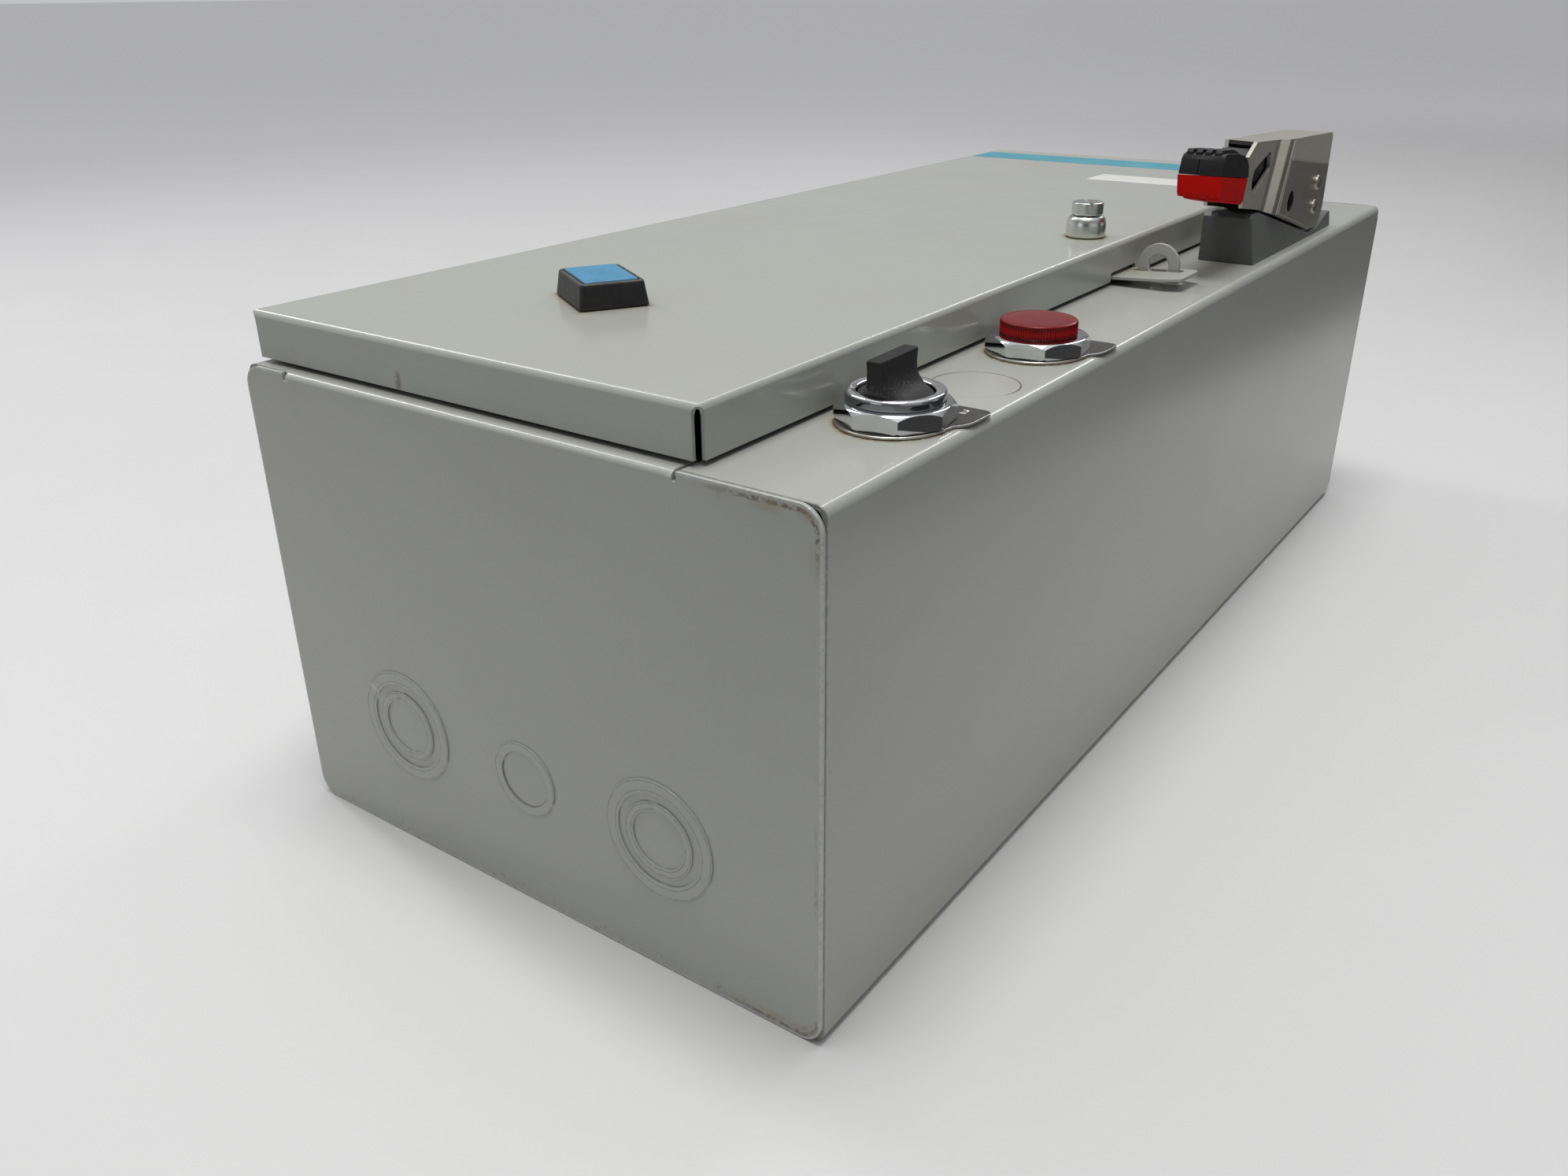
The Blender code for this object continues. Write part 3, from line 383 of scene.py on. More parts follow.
def small_enamel_skin():
    """The padlock ring and hasp: thick paint, chipped at its edges."""
    skin = enamel("enamel_hardware")
    chips = skin.noise(2.4, 4.0, 0.7, offset=(4, 2, 6)).step(0.66, 0.72)
    skin.coat((0.42, 0.43, 0.41), chips * 0.8)
    away = skin.around(STAPLE[0] - 10.0, fb(STAPLE[1]))
    skin.coat((0.37, 0.315, 0.20), away.step(16.0, 5.0) * skin.nz.step(0.5, 0.9) * skin.noise(5.0, 3.0).step(0.3, 0.6) * 0.8)
    return skin.done()


def chrome_skin():
    skin = Skin("chrome_plate", (0.74, 0.75, 0.77), 0.06, 1.0)
    cloud = skin.noise(5.0, 4.0, 0.6)
    skin.rough(cloud.span(0.03, 0.13))
    pits = skin.noise(0.55, 3.0, 0.7, offset=(5, 1, 2)).step(0.66, 0.72)
    skin.coat((0.42, 0.38, 0.32), pits * skin.noise(6.0, 2.0, offset=(9, 9, 9)).step(0.5, 0.65) * 0.6)
    skin.coat((0.64, 0.65, 0.68), cloud.step(0.4, 0.7) * 0.5)
    # The bezel's band is painted dark, a painted reflection, and its rim pale, a painted highlight.
    skin.coat((0.20, 0.20, 0.22), skin.z.step(211.5, 212.0) * skin.z.step(214.4, 213.8) * abs(skin.nz).step(0.5, 0.2) * 0.85)
    skin.coat((0.94, 0.94, 0.95), skin.z.step(214.2, 214.7) * skin.nz.step(0.6, 0.9) * 0.8)
    skin.raise_by(skin.noise(3.0, 2.0) * 0.006)
    return skin.done()


def zinc_skin(name, colour=(0.66, 0.68, 0.665), low=0.14, high=0.30):
    skin = Skin(name, colour, 0.25, 1.0)
    cloud = skin.noise(7.0, 4.0, 0.6)
    dark = tuple(0.72 * c for c in colour)
    skin.coat(dark, cloud.step(0.38, 0.72) * 0.7)
    skin.coat((0.50, 0.47, 0.36), skin.noise(18.0, 3.0, offset=(5, 4, 1)).step(0.55, 0.75) * 0.35)
    skin.rough(skin.noise(3.0, 4.0, 0.6, offset=(2, 2, 9)).span(low, high))
    skin.raise_by(skin.noise(0.8, 2.0) * 0.004)
    return skin.done()


def latch_skin():
    """Bright zinc on a turned part, with faint tool rings."""
    skin = Skin("latch_zinc", (0.66, 0.685, 0.655), 0.2, 1.0)
    rings = skin.noise(0.5, 3.0, 0.6, stretch=(0.05, 0.05, 1.0))
    skin.coat((0.56, 0.58, 0.55), rings.step(0.4, 0.7) * 0.35)
    skin.coat((0.50, 0.47, 0.38), skin.z.step(DOOR_TOP + 1.6, DOOR_TOP + 0.3) * skin.noise(4.0, 3.0).step(0.3, 0.7) * 0.5)
    skin.rough(skin.noise(14.0, 2.0, offset=(2, 2, 9)).span(0.22, 0.30))
    skin.raise_by(rings * 0.0006)
    return skin.done()


def nickel_skin():
    skin = Skin("nickel_lever", (0.66, 0.625, 0.545), 0.34, 1.0)
    grain = skin.noise(1.0, 3.0, 0.6, stretch=(1.6, 0.10, 1.6))
    skin.coat((0.58, 0.545, 0.465), grain.step(0.35, 0.7) * 0.35)
    skin.coat((0.50, 0.465, 0.385), skin.noise(16.0, 4.0, 0.6).step(0.45, 0.8) * 0.5)
    # Rougher and painted darker on top as painted shade, and polished down the stepped bend.
    skin.coat((0.30, 0.29, 0.265), skin.nz.step(0.75, 0.95) * 0.85)
    lean = skin.y - (skin.z - 225.0) * 0.42
    bend = lean.step(fb(430.0), fb(434.0)) * lean.step(fb(446.0), fb(441.0)) * skin.nx.step(0.6, 0.85)
    # Painted paler above the pad and ahead of the bend: painted highlight.
    highlight_zone = (skin.z + (skin.y - fb(462.6)) * 0.1336).step(251.2, 252.6) * lean.step(fb(446.0), fb(449.0))
    highlight_zone = highlight_zone + lean.step(fb(430.0), fb(427.0)) * 0.7
    highlight_zone = highlight_zone * skin.nx.step(0.6, 0.85)
    skin.coat((0.86, 0.83, 0.74), highlight_zone * 0.9)
    cloud = skin.noise(9.0, 3.0, 0.5, offset=(3, 1, 7)).span(0.29, 0.40) + skin.nz.step(0.75, 0.95) * 0.27 + highlight_zone * 0.12
    skin.rough(cloud * (1.0 - bend) + bend * 0.27)
    skin.raise_by(grain * 0.0012)
    skin.raise_by(skin.noise(11.0, 2.0) * 0.010)
    return skin.done()


def shadow_metal_skin():
    """The lever's inside, painted dull near-black as shade."""
    skin = Skin("lever_inside_painted_shade", (0.055, 0.050, 0.042), 0.55, 0.6)
    skin.coat((0.032, 0.028, 0.022), skin.noise(9.0, 4.0, 0.65).step(0.35, 0.7))
    skin.rough(skin.noise(4.0, 3.0).span(0.42, 0.65))
    skin.raise_by(skin.noise(1.2, 2.0) * 0.01)
    return skin.done()


def cast_skin():
    skin = Skin("cast_grey", (0.078, 0.083, 0.082), 0.5)
    lumps = skin.noise(1.0, 3.0, 0.6)
    skin.coat((0.11, 0.116, 0.113), lumps.step(0.4, 0.75) * 0.5)
    skin.coat((0.058, 0.060, 0.058), skin.noise(20.0, 3.0).step(0.4, 0.75) * 0.6)
    skin.coat((0.22, 0.21, 0.18), skin.nz.step(0.6, 0.95) * skin.noise(6.0, 4.0, 0.6).step(0.42, 0.72) * 0.35)
    # The side facing +X is painted paler: painted light.
    skin.coat((0.130, 0.138, 0.128), skin.nx.step(0.6, 0.9) * skin.noise(8.0, 3.0, 0.6).span(0.6, 1.0))
    skin.rough(skin.noise(6.0, 3.0, offset=(1, 7, 3)).span(0.38, 0.60))
    skin.raise_by(lumps * 0.045)
    skin.raise_by(skin.noise(0.35, 2.0) * 0.02)
    return skin.done()


def plastic_skin(name, colour, low, high, grain=0.02, size=0.45, dust=0.25):
    """Moulded plastic with a spark-eroded grain and some dust."""
    skin = Skin(name, colour, 0.4)
    pale = tuple(min(1.0, 1.25 * c + 0.012) for c in colour)
    dark = tuple(0.75 * c for c in colour)
    skin.coat(dark, skin.noise(14.0, 3.0).step(0.4, 0.75) * 0.5)
    skin.coat(pale, skin.noise(size * 1.6, 2.0, offset=(3, 6, 9)).step(0.55, 0.8) * 0.5)
    skin.coat((0.20, 0.185, 0.155), skin.noise(5.0, 4.0, 0.65, offset=(7, 1, 5)).step(0.5, 0.8) * dust)
    skin.rough(skin.noise(4.0, 3.0, offset=(6, 6, 2)).span(low, high))
    skin.raise_by(skin.noise(size, 2.0) * grain)
    return skin


def knob_skin():
    skin = plastic_skin("black_knob", (0.017, 0.016, 0.017), 0.42, 0.6, 0.07, 0.5, 0.06)
    skin.shader.inputs["Specular IOR Level"].default_value = 0.3
    # A pale speckle painted on the flare: a painted sparkle of highlight.
    sparkle_band = skin.z.step(214.2, 216.2) * skin.z.step(221.5, 217.5)
    skin.coat((0.12, 0.115, 0.11), sparkle_band * skin.noise(0.7, 2.0, offset=(5, 5, 1)).step(0.5, 0.72) * 0.55)
    return skin.done()


def boot_skin():
    """Black moulding with a patchy dust film; its left side is painted paler as painted light, and its top rim is
    greyed.
    """
    skin = plastic_skin("black_boot", (0.012, 0.012, 0.013), 0.36, 0.52, 0.03, 0.6, 0.04)
    turn = math.radians(RESET_TURN)
    # The left-facing side is painted paler with the film: painted light.
    left = (skin.nx * -math.cos(turn) - skin.ny * math.sin(turn)).step(0.55, 0.9)
    film = skin.noise(7.0, 4.0, 0.65, offset=(2, 2, 2)).step(0.25, 0.75)
    skin.coat((0.105, 0.098, 0.088), left * film * 0.55)
    skin.coat((0.060, 0.056, 0.050), film * 0.12)
    skin.shader.inputs["Specular IOR Level"].default_value = 0.3
    rim = skin.z.step(DOOR_TOP + 8.2, DOOR_TOP + 10.1) * skin.nz.step(0.1, 0.8)
    skin.coat((0.16, 0.15, 0.125), rim * film.span(0.3, 1.0) * 0.55)
    skin.coat((0.10, 0.085, 0.06), skin.z.step(DOOR_TOP + 2.2, DOOR_TOP + 0.3) * film * 0.3)
    return skin.done()


def blue_skin():
    skin = plastic_skin("blue_cap", (0.052, 0.235, 0.400), 0.34, 0.5, 0.02, 0.5, 0.0)
    rubbed = skin.noise(6.0, 4.0, 0.65, offset=(1, 5, 3)).step(0.45, 0.8)
    skin.coat((0.10, 0.245, 0.36), rubbed * 0.45)
    turn = math.radians(RESET_TURN)
    dx, dy = skin.x - RESET[0], skin.y - fb(RESET[1])
    u = dx * math.cos(turn) + dy * math.sin(turn)
    v = dy * math.cos(turn) - dx * math.sin(turn)
    touch = ((u / 11.0) ** 2.0 + (v / 6.5) ** 2.0).root()
    skin.coat((0.022, 0.130, 0.26), touch.step(1.15, 0.5) * skin.noise(2.4, 3.0, 0.6).step(0.3, 0.7) * 0.45)
    edge = (abs(u) - 15.0).math("MAXIMUM", abs(v) - 9.8).step(0.0, 0.9)
    skin.coat((0.07, 0.12, 0.17), edge * skin.noise(3.0, 3.0, offset=(7, 7, 7)).step(0.35, 0.65) * 0.5)
    return skin.done()


def lens_skin():
    skin = Skin("red_lens", (0.29, 0.001, 0.003), 0.2)
    skin.shader.inputs["IOR"].default_value = 1.49
    skin.shader.inputs["Transmission Weight"].default_value = 0.10
    skin.shader.inputs["Specular IOR Level"].default_value = 0.3
    skin.coat((0.21, 0.001, 0.002), skin.noise(5.0, 3.0).step(0.4, 0.7) * 0.6)
    # The top is painted a deeper red: painted shade.
    skin.coat((0.135, 0.006, 0.010), skin.nz.step(0.5, 0.9) * 0.75)
    # The ribbed side has painted shade at its rims and a painted glow of reflected light between them.
    side = skin.nz.step(0.5, 0.2)
    skin.coat((0.40, 0.002, 0.004), side * skin.z.step(212.2, 213.0) * skin.z.step(214.4, 213.6) * 0.55)
    skin.coat((0.075, 0.0006, 0.001), side * skin.z.step(212.5, 211.5) * 0.75)
    skin.coat((0.095, 0.0006, 0.001), side * skin.z.step(214.2, 215.4) * 0.7)
    dust = skin.noise(5.0, 3.0, 0.5, offset=(2, 3, 1)).step(0.4, 0.8) * skin.nz.step(0.5, 0.9)
    skin.coat((0.22, 0.09, 0.09), dust * 0.06)
    skin.rough((dust * 0.06) + skin.noise(9.0, 2.0).span(0.19, 0.26))
    skin.raise_by(skin.noise(6.0, 2.0) * 0.004)
    return skin.done()


def legend_skin():
    skin = Skin("legend_face", (0.042, 0.041, 0.038), 0.35)
    skin.coat((0.085, 0.08, 0.068), skin.noise(4.0, 4.0, 0.6).step(0.4, 0.75) * 0.7)
    scratch = skin.noise(0.8, 3.0, 0.6, stretch=(0.2, 1.6, 1.0)).step(0.66, 0.74)
    skin.coat((0.24, 0.235, 0.225), scratch * 0.5)
    skin.rough(skin.noise(3.0, 3.0, offset=(2, 8, 4)).span(0.24, 0.42))
    skin.raise_by(skin.noise(1.2, 2.0) * 0.004)
    return skin.done()


def stripe_skin():
    """A printed teal band, faded and dusty."""
    skin = Skin("teal_band", (0.040, 0.270, 0.350), 0.36)
    skin.coat((0.085, 0.340, 0.415), skin.noise(22.0, 4.0, 0.6).step(0.4, 0.75) * 0.6)
    skin.coat((0.25, 0.36, 0.37), skin.noise(3.0, 4.0, 0.65, offset=(3, 1, 1)).step(0.55, 0.8) * 0.3)
    skin.rough(skin.noise(8.0, 3.0, offset=(4, 4, 1)).span(0.26, 0.42))
    skin.raise_by(skin.noise(1.6, 2.0) * 0.004)
    return skin.done()


def label_skin():
    skin = Skin("blank_label", (0.60, 0.60, 0.575), 0.42)
    skin.coat((0.50, 0.49, 0.45), skin.noise(10.0, 4.0, 0.6).step(0.4, 0.75) * 0.6)
    skin.coat((0.36, 0.31, 0.23), skin.noise(2.4, 4.0, 0.7, offset=(6, 1, 3)).step(0.60, 0.75) * 0.5)
    skin.rough(skin.noise(6.0, 3.0, offset=(3, 3, 8)).span(0.34, 0.5))
    skin.raise_by(skin.noise(0.9, 2.0) * 0.006)
    return skin.done()


def copper_skin():
    skin = Skin("copper_bar", (0.62, 0.33, 0.20), 0.3, 1.0)
    skin.coat((0.40, 0.20, 0.12), skin.noise(9.0, 4.0, 0.6).step(0.42, 0.75) * 0.7)
    skin.coat((0.22, 0.13, 0.09), skin.noise(3.0, 4.0, 0.65, offset=(2, 2, 2)).step(0.58, 0.78) * 0.5)
    grain = skin.noise(1.0, 3.0, 0.6, stretch=(2.0, 2.0, 0.15))
    skin.rough(grain.span(0.22, 0.42))
    skin.raise_by(grain * 0.006)
    return skin.done()


def grip_black_skin():
    skin = plastic_skin("grip_black", (0.009, 0.009, 0.010), 0.40, 0.55, 0.03, 0.6, 0.03)
    skin.shader.inputs["Specular IOR Level"].default_value = 0.22
    # Painted paler on the upward faces, patchily: a painted highlight.
    skin.coat((0.085, 0.09, 0.085), skin.nz.step(0.75, 0.95) * skin.noise(3.0, 3.0, 0.6).span(0.3, 0.8))
    return skin.done()


def red_skin():
    skin = plastic_skin("grip_red", (0.56, 0.006, 0.004), 0.40, 0.55, 0.02, 0.6, 0.0)
    skin.shader.inputs["Specular IOR Level"].default_value = 0.06
    return skin.done()


def wire_skin():
    skin = plastic_skin("wire_jacket", (0.016, 0.016, 0.017), 0.34, 0.5, 0.012, 0.8, 0.12)
    return skin.done()


WRAP_SKIN, CAP_SKIN, DOOR_SKIN, HASP_SKIN = wrap_skin(), cap_skin(), door_skin(), small_enamel_skin()
CHROME, LATCH_ZINC = chrome_skin(), latch_skin()
ZINC, NICKEL, CAST = zinc_skin("zinc_plate"), nickel_skin(), cast_skin()
LEVER_INSIDE_SHADE = shadow_metal_skin()
SCREW_NICKEL = zinc_skin("screw_nickel", (0.44, 0.415, 0.36), 0.28, 0.42)
KNOB, BOOT, BLUE = knob_skin(), boot_skin(), blue_skin()
GRIP_BLACK = grip_black_skin()
GRIP_RED = red_skin()
LENS, LEGEND = lens_skin(), legend_skin()
LEGEND_EDGE = zinc_skin("legend_edge", (0.58, 0.57, 0.53), 0.22, 0.4)
STRIPE, LABEL = stripe_skin(), label_skin()
PRINT = plastic_skin("print_white", (0.62, 0.62, 0.58), 0.4, 0.55, 0.004, 0.6, 0.3).done()
COPPER, WIRE = copper_skin(), wire_skin()
PHENOLIC = plastic_skin("phenolic", (0.030, 0.027, 0.025), 0.38, 0.55, 0.02, 0.7, 0.12).done()


# -------------------------------------------------------------------- helpers
def obj_from(bm, name, mat=None):
    bmesh.ops.remove_doubles(bm, verts=bm.verts, dist=1e-7)
    bmesh.ops.recalc_face_normals(bm, faces=bm.faces)
    mesh = bpy.data.meshes.new(name)
    bm.to_mesh(mesh)
    bm.free()
    made = bpy.data.objects.new(name, mesh)
    SCENE.collection.objects.link(made)
    if mat:
        mesh.materials.append(mat)
    return made


def place(axis, u, v, w):
    if axis == "x":
        return Vector((w, u, v)) * MM
    if axis == "y":
        return Vector((u, w, v)) * MM
    return Vector((u, v, w)) * MM


def loft(name, rows, axis="z", mat=None):
    """Closed solid through rows of (outline, level) with the same number of points."""
    bm = bmesh.new()
    made = [[bm.verts.new(place(axis, u, v, w)) for u, v in outline] for outline, w in rows]
    bm.faces.new(made[0])
    bm.faces.new(made[-1])
    count = len(made[0])
    for one, two in zip(made, made[1:]):
        for i in range(count):
            j = (i + 1) % count
            bm.faces.new((one[i], one[j], two[j], two[i]))
    return obj_from(bm, name, mat)


def prism(name, outline, low, high, axis="z", mat=None):
    """An outline extruded along an axis: (x, y) for z, (x, z) for y, (y, z) for x."""
    return loft(name, [(outline, low), (outline, high)], axis, mat)


def box(name, low, high, mat=None):
    (x0, y0, z0), (x1, y1, z1) = low, high
    return prism(name, [(x0, y0), (x1, y0), (x1, y1), (x0, y1)], z0, z1, "z", mat)


def arc(cu, cv, radius, start, stop, steps):
    return [
        (
            cu + radius * math.cos(math.radians(start + (stop - start) * i / steps)),
            cv + radius * math.sin(math.radians(start + (stop - start) * i / steps)),
        )
        for i in range(steps + 1)
    ]


def ring_points(cu, cv, radius, count, turn=0.0):
    return [
        (
            cu + radius * math.cos(2 * math.pi * i / count + math.radians(turn)),
            cv + radius * math.sin(2 * math.pi * i / count + math.radians(turn)),
        )
        for i in range(count)
    ]


def rounded(cu, cv, width, height, radius, steps=5):
    """Outline of a rectangle with round corners."""
    a, b = width / 2 - radius, height / 2 - radius
    points = []
    for su, sv, start in ((1, 1, 0), (-1, 1, 90), (-1, -1, 180), (1, -1, 270)):
        points += arc(cu + su * a, cv + sv * b, radius, start, start + 90, steps)
    return points


def eased(points, radius, steps=5):
    """A polygon with its corners rounded off."""
    made, count = [], len(points)
    for i in range(count):
        here = Vector(points[i])
        one, two = Vector(points[i - 1]) - here, Vector(points[(i + 1) % count]) - here
        start = here + one.normalized() * min(radius, one.length * 0.48)
        stop = here + two.normalized() * min(radius, two.length * 0.48)
        for k in range(steps + 1):
            a = k / steps
            spot = start * (1 - a) ** 2 + here * 2 * a * (1 - a) + stop * a**2
            made.append((spot.x, spot.y))
    return made


def spun(outline, cu, cv, degrees):
    c, s = math.cos(math.radians(degrees)), math.sin(math.radians(degrees))
    return [(cu + (u - cu) * c - (v - cv) * s, cv + (u - cu) * s + (v - cv) * c) for u, v in outline]


def inset(outline, amount):
    """The outline moved inward by an amount, corner by corner."""
    area = sum(a[0] * b[1] - b[0] * a[1] for a, b in zip(outline, outline[1:] + outline[:1]))
    sign = 1.0 if area > 0 else -1.0
    count, made = len(outline), []
    for i in range(count):
        before, here, after = Vector(outline[i - 1]), Vector(outline[i]), Vector(outline[(i + 1) % count])
        one, two = (here - before).normalized(), (after - here).normalized()
        normal = Vector((-one.y - two.y, one.x + two.x)) * sign
        if normal.length < 1e-6:
            normal = Vector((-one.y, one.x)) * sign
        normal.normalize()
        stretch = max(0.35, normal.dot(Vector((-one.y, one.x)) * sign))
        spot = here + normal * (amount / stretch)
        made.append((spot.x, spot.y))
    return made


def plate(name, outline, low, high, edge, axis="z", mat=None, both=False):
    """A flat piece with its upper rim (or both rims) eased."""
    rows = []
    way = 1.0 if high > low else -1.0
    if both:
        rows += [(inset(outline, edge), low), (inset(outline, edge * 0.3), low + way * edge * 0.3)]
        rows.append((outline, low + way * edge))
    else:
        rows.append((outline, low))
    rows += [
        (outline, high - way * edge),
        (inset(outline, edge * 0.3), high - way * edge * 0.3),
        (inset(outline, edge), high),
    ]
    return loft(name, rows, axis, mat)


def rod(name, cu, cv, radius, low, high, axis="z", count=48, mat=None, turn=0.0):
    return prism(name, ring_points(cu, cv, radius, count, turn), low, high, axis, mat)


def lathe(name, centre, profile, count=64, mat=None, axis="z", radius_at=None):
    """A profile of (radius, level) points, closed on itself or ending on the axis, turned about an axis."""
    bm = bmesh.new()
    rows = []
    for index, (radius, level) in enumerate(profile):
        if radius < 1e-6:
            rows.append([bm.verts.new(place(axis, centre[0], centre[1], level))])
            continue
        row = []
        for i in range(count):
            angle = 2 * math.pi * i / count
            r = radius_at(index, radius, angle) if radius_at else radius
            row.append(
                bm.verts.new(place(axis, centre[0] + r * math.cos(angle), centre[1] + r * math.sin(angle), level))
            )
        rows.append(row)
    pairs = list(zip(rows, rows[1:]))
    if len(rows[0]) > 1:
        pairs.append((rows[-1], rows[0]))
    for one, two in pairs:
        for i in range(count):
            j = (i + 1) % count
            corners = [one[i % len(one)], one[j % len(one)], two[j % len(two)], two[i % len(two)]]
            unique = []
            for corner in corners:
                if corner not in unique:
                    unique.append(corner)
            if len(unique) > 2:
                bm.faces.new(unique)
    return obj_from(bm, name, mat)


def bent(points, steps=6):
    """A smooth curve through profile points."""
    made = []
    for i in range(len(points) - 1):
        p0 = Vector(points[max(i - 1, 0)])
        p1, p2 = Vector(points[i]), Vector(points[i + 1])
        p3 = Vector(points[min(i + 2, len(points) - 1)])
        for k in range(steps):
            t = k / steps
            spot = 0.5 * (
                2 * p1 + (p2 - p0) * t + (2 * p0 - 5 * p1 + 4 * p2 - p3) * t**2 + (3 * p1 - p0 - 3 * p2 + p3) * t**3
            )
            made.append((spot.x, spot.y))
    made.append(tuple(points[-1]))
    return made


def combine(target, others, operation, tidy=True):
    """Joins to, or cuts from, the target with exact Booleans, and keeps the result as its mesh."""
    for other in others:
        step = target.modifiers.new(operation.lower(), "BOOLEAN")
        step.operation = operation
        step.solver = "EXACT"
        step.object = other
    bpy.context.view_layer.update()
    graph = bpy.context.evaluated_depsgraph_get()
    mats = list(target.data.materials)
    mesh = bpy.data.meshes.new_from_object(target.evaluated_get(graph))
    target.modifiers.clear()
    target.data = mesh
    mesh.materials.clear()
    for mat in mats:
        mesh.materials.append(mat)
    for other in others:
        bpy.data.objects.remove(other, do_unlink=True)
    if tidy:
        bm = bmesh.new()
        bm.from_mesh(mesh)
        bmesh.ops.remove_doubles(bm, verts=bm.verts, dist=2e-6)
        bmesh.ops.dissolve_limit(bm, angle_limit=math.radians(0.3), verts=bm.verts, edges=bm.edges)
        bm.to_mesh(mesh)
        bm.free()
    for face in mesh.polygons:
        face.material_index = 0
    return target


def join(target, *others):
    return combine(target, others, "UNION")


def cut(target, *others):
    return combine(target, others, "DIFFERENCE")


def keep(target, *others):
    return combine(target, others, "INTERSECT")


def turned(made, centre, degrees, axis="Z"):
    pivot = Vector(centre) * MM
    made.data.transform(
        Matrix.Translation(pivot) @ Matrix.Rotation(math.radians(degrees), 4, axis) @ Matrix.Translation(-pivot)
    )
    return made


def merge(target, *others):
    """Adds other meshes to the target as separate shells of the same piece."""
    bm = bmesh.new()
    bm.from_mesh(target.data)
    for other in others:
        bm.from_mesh(other.data)
        bpy.data.objects.remove(other, do_unlink=True)
    bm.to_mesh(target.data)
    bm.free()
    return target


def show(made, body, *nodes, slot=None, angle=32.0, bevel=0.0, segments=2):
    """Finishes a piece: shading, eased edges, the body it rides on and the node it stands for."""
    made.data.shade_smooth()
    made.data.set_sharp_from_angle(angle=math.radians(angle))
    if bevel:
        step = made.modifiers.new("eased", "BEVEL")
        step.width = bevel * MM
        step.segments = segments
        step.limit_method = "ANGLE"
        step.angle_limit = math.radians(angle)
        step.miter_outer = "MITER_ARC"
        step.use_clamp_overlap = True
    step = made.modifiers.new("flat", "WEIGHTED_NORMAL")
    step.keep_sharp = True
    step.weight = 80
    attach(made, body)
    if nodes:
        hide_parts(*nodes)
    return made


def dress(node, mat, bevel=0.3, segments=2, angle=32.0):
    """A solid that keeps its own shape: eased edges and a finish."""
    made = NODES[node]
    made.data.materials.clear()
    made.data.materials.append(mat)
    if bevel:
        weld = made.modifiers.new("weld", "WELD")
        weld.merge_threshold = 2e-6
        step = made.modifiers.new("eased", "BEVEL")
        step.width = bevel * MM
        step.segments = segments
        step.limit_method = "ANGLE"
        step.angle_limit = math.radians(angle)
    step = made.modifiers.new("flat", "WEIGHTED_NORMAL")
    step.weight = 80
    return made


# ------------------------------------------------------------------ enclosure
def wrap_side(offset):
    r, lip = BODY_BEND, FLANGE_BEND
    w, d = WIDTH / 2, DEPTH
    points = [(LIP_RIGHT + offset, d - LIP_RETURN)]
    points += arc(LIP_RIGHT + lip, d - lip, lip - offset, 180, 90, 6)
    points += arc(w - r, d - r, r - offset, 90, 0, 10)
    points += arc(w - r, r, r - offset, 0, -90, 10)
    points += arc(r - w, r, r - offset, -90, -180, 10)
    points += arc(r - w, d - r, r - offset, 180, 90, 10)
    points += arc(LIP_LEFT - lip, d - lip, lip - offset, 90, 0, 6)
    points.append((LIP_LEFT - offset, d - LIP_RETURN))
    return points


wrap = prism(
    "body_wrap_sheet",
    wrap_side(0.0) + wrap_side(SHEET)[::-1],
    fb(SHEET + GAP),
    fb(LENGTH - SHEET - GAP),
    "y",
    WRAP_SKIN,
)
spare = lathe("c", (115.8, fb(SPARE_Y)), [(16.72, 202.6), (17.08, 202.6), (17.08, 205.0), (16.72, 205.0)], 96)
for degrees in (66.0, 250.0):
    a = math.radians(degrees)
    spot = (115.8 + 16.9 * math.cos(a), fb(SPARE_Y) + 16.9 * math.sin(a))
    cut(spare, rod("c", spot[0], spot[1], 1.5, 200, 210, count=12))
cut(spare, box("c", (90.0, fb(SPARE_Y - 30.0), 195.0), (140.0, fb(SPARE_Y - 6.0), 210.0)))
cut(
    wrap,
    rod("c", CONTROL_X, fb(SELECTOR_Y), CONTROL_HOLE_R, 190, 210),
    rod("c", CONTROL_X, fb(PILOT_Y), CONTROL_HOLE_R, 190, 210),
    prism(
        "c",
        rounded(HANDLE_X, fb(sum(CRANK_SLOT_Y) / 2), 8.8, CRANK_SLOT_Y[1] - CRANK_SLOT_Y[0], 2.0),
        195,
        210,
    ),
    *[rod("c", x, fb(y), 4.4, -5, 5) for x, y in MOUNT_HOLES],
    *[rod("c", x, fb(y), 2.8, -5, 5, count=24) for x, y in PAN_SCREWS],
    spare,
)
show(wrap, "enclosure", "body_wrap", slot="grey_enamel", bevel=0.18)


def raised_ring(name, cx, cz, inner, outer, surface, sign, height, tabs):
    """A knockout's ring, pushed out of the plate, with its tie tabs as shallow ramps."""
    bm = bmesh.new()
    count = 144
    rows = [[] for _ in range(8)]
    for i in range(count):
        degrees = 360.0 * i / count
        near = min(abs((degrees - tab + 180) % 360 - 180) for tab in tabs)
        ramp = min(1.0, max(0.0, (near - 3.0) / 7.0))
        ramp = ramp * ramp * (3 - 2 * ramp)
        top = height * (0.25 + 0.75 * ramp)
        c, s = math.cos(math.radians(degrees)), math.sin(math.radians(degrees))
        for row, (radius, level) in zip(
            rows,
            (
                (inner, -0.5), (inner, top - 0.2), (inner + 0.07, top - 0.06), (inner + 0.25, top),
                (outer - 0.25, top), (outer - 0.07, top - 0.06), (outer, top - 0.2), (outer, -0.5),
            ),
        ):
            row.append(bm.verts.new(Vector((cx + radius * c, surface - sign * level, cz + radius * s)) * MM))
    for k in range(8):
        one, two = rows[k], rows[(k + 1) % 8]
        for i in range(count):
            j = (i + 1) % count
            bm.faces.new((one[i], one[j], two[j], two[i]))
    return obj_from(bm, name)


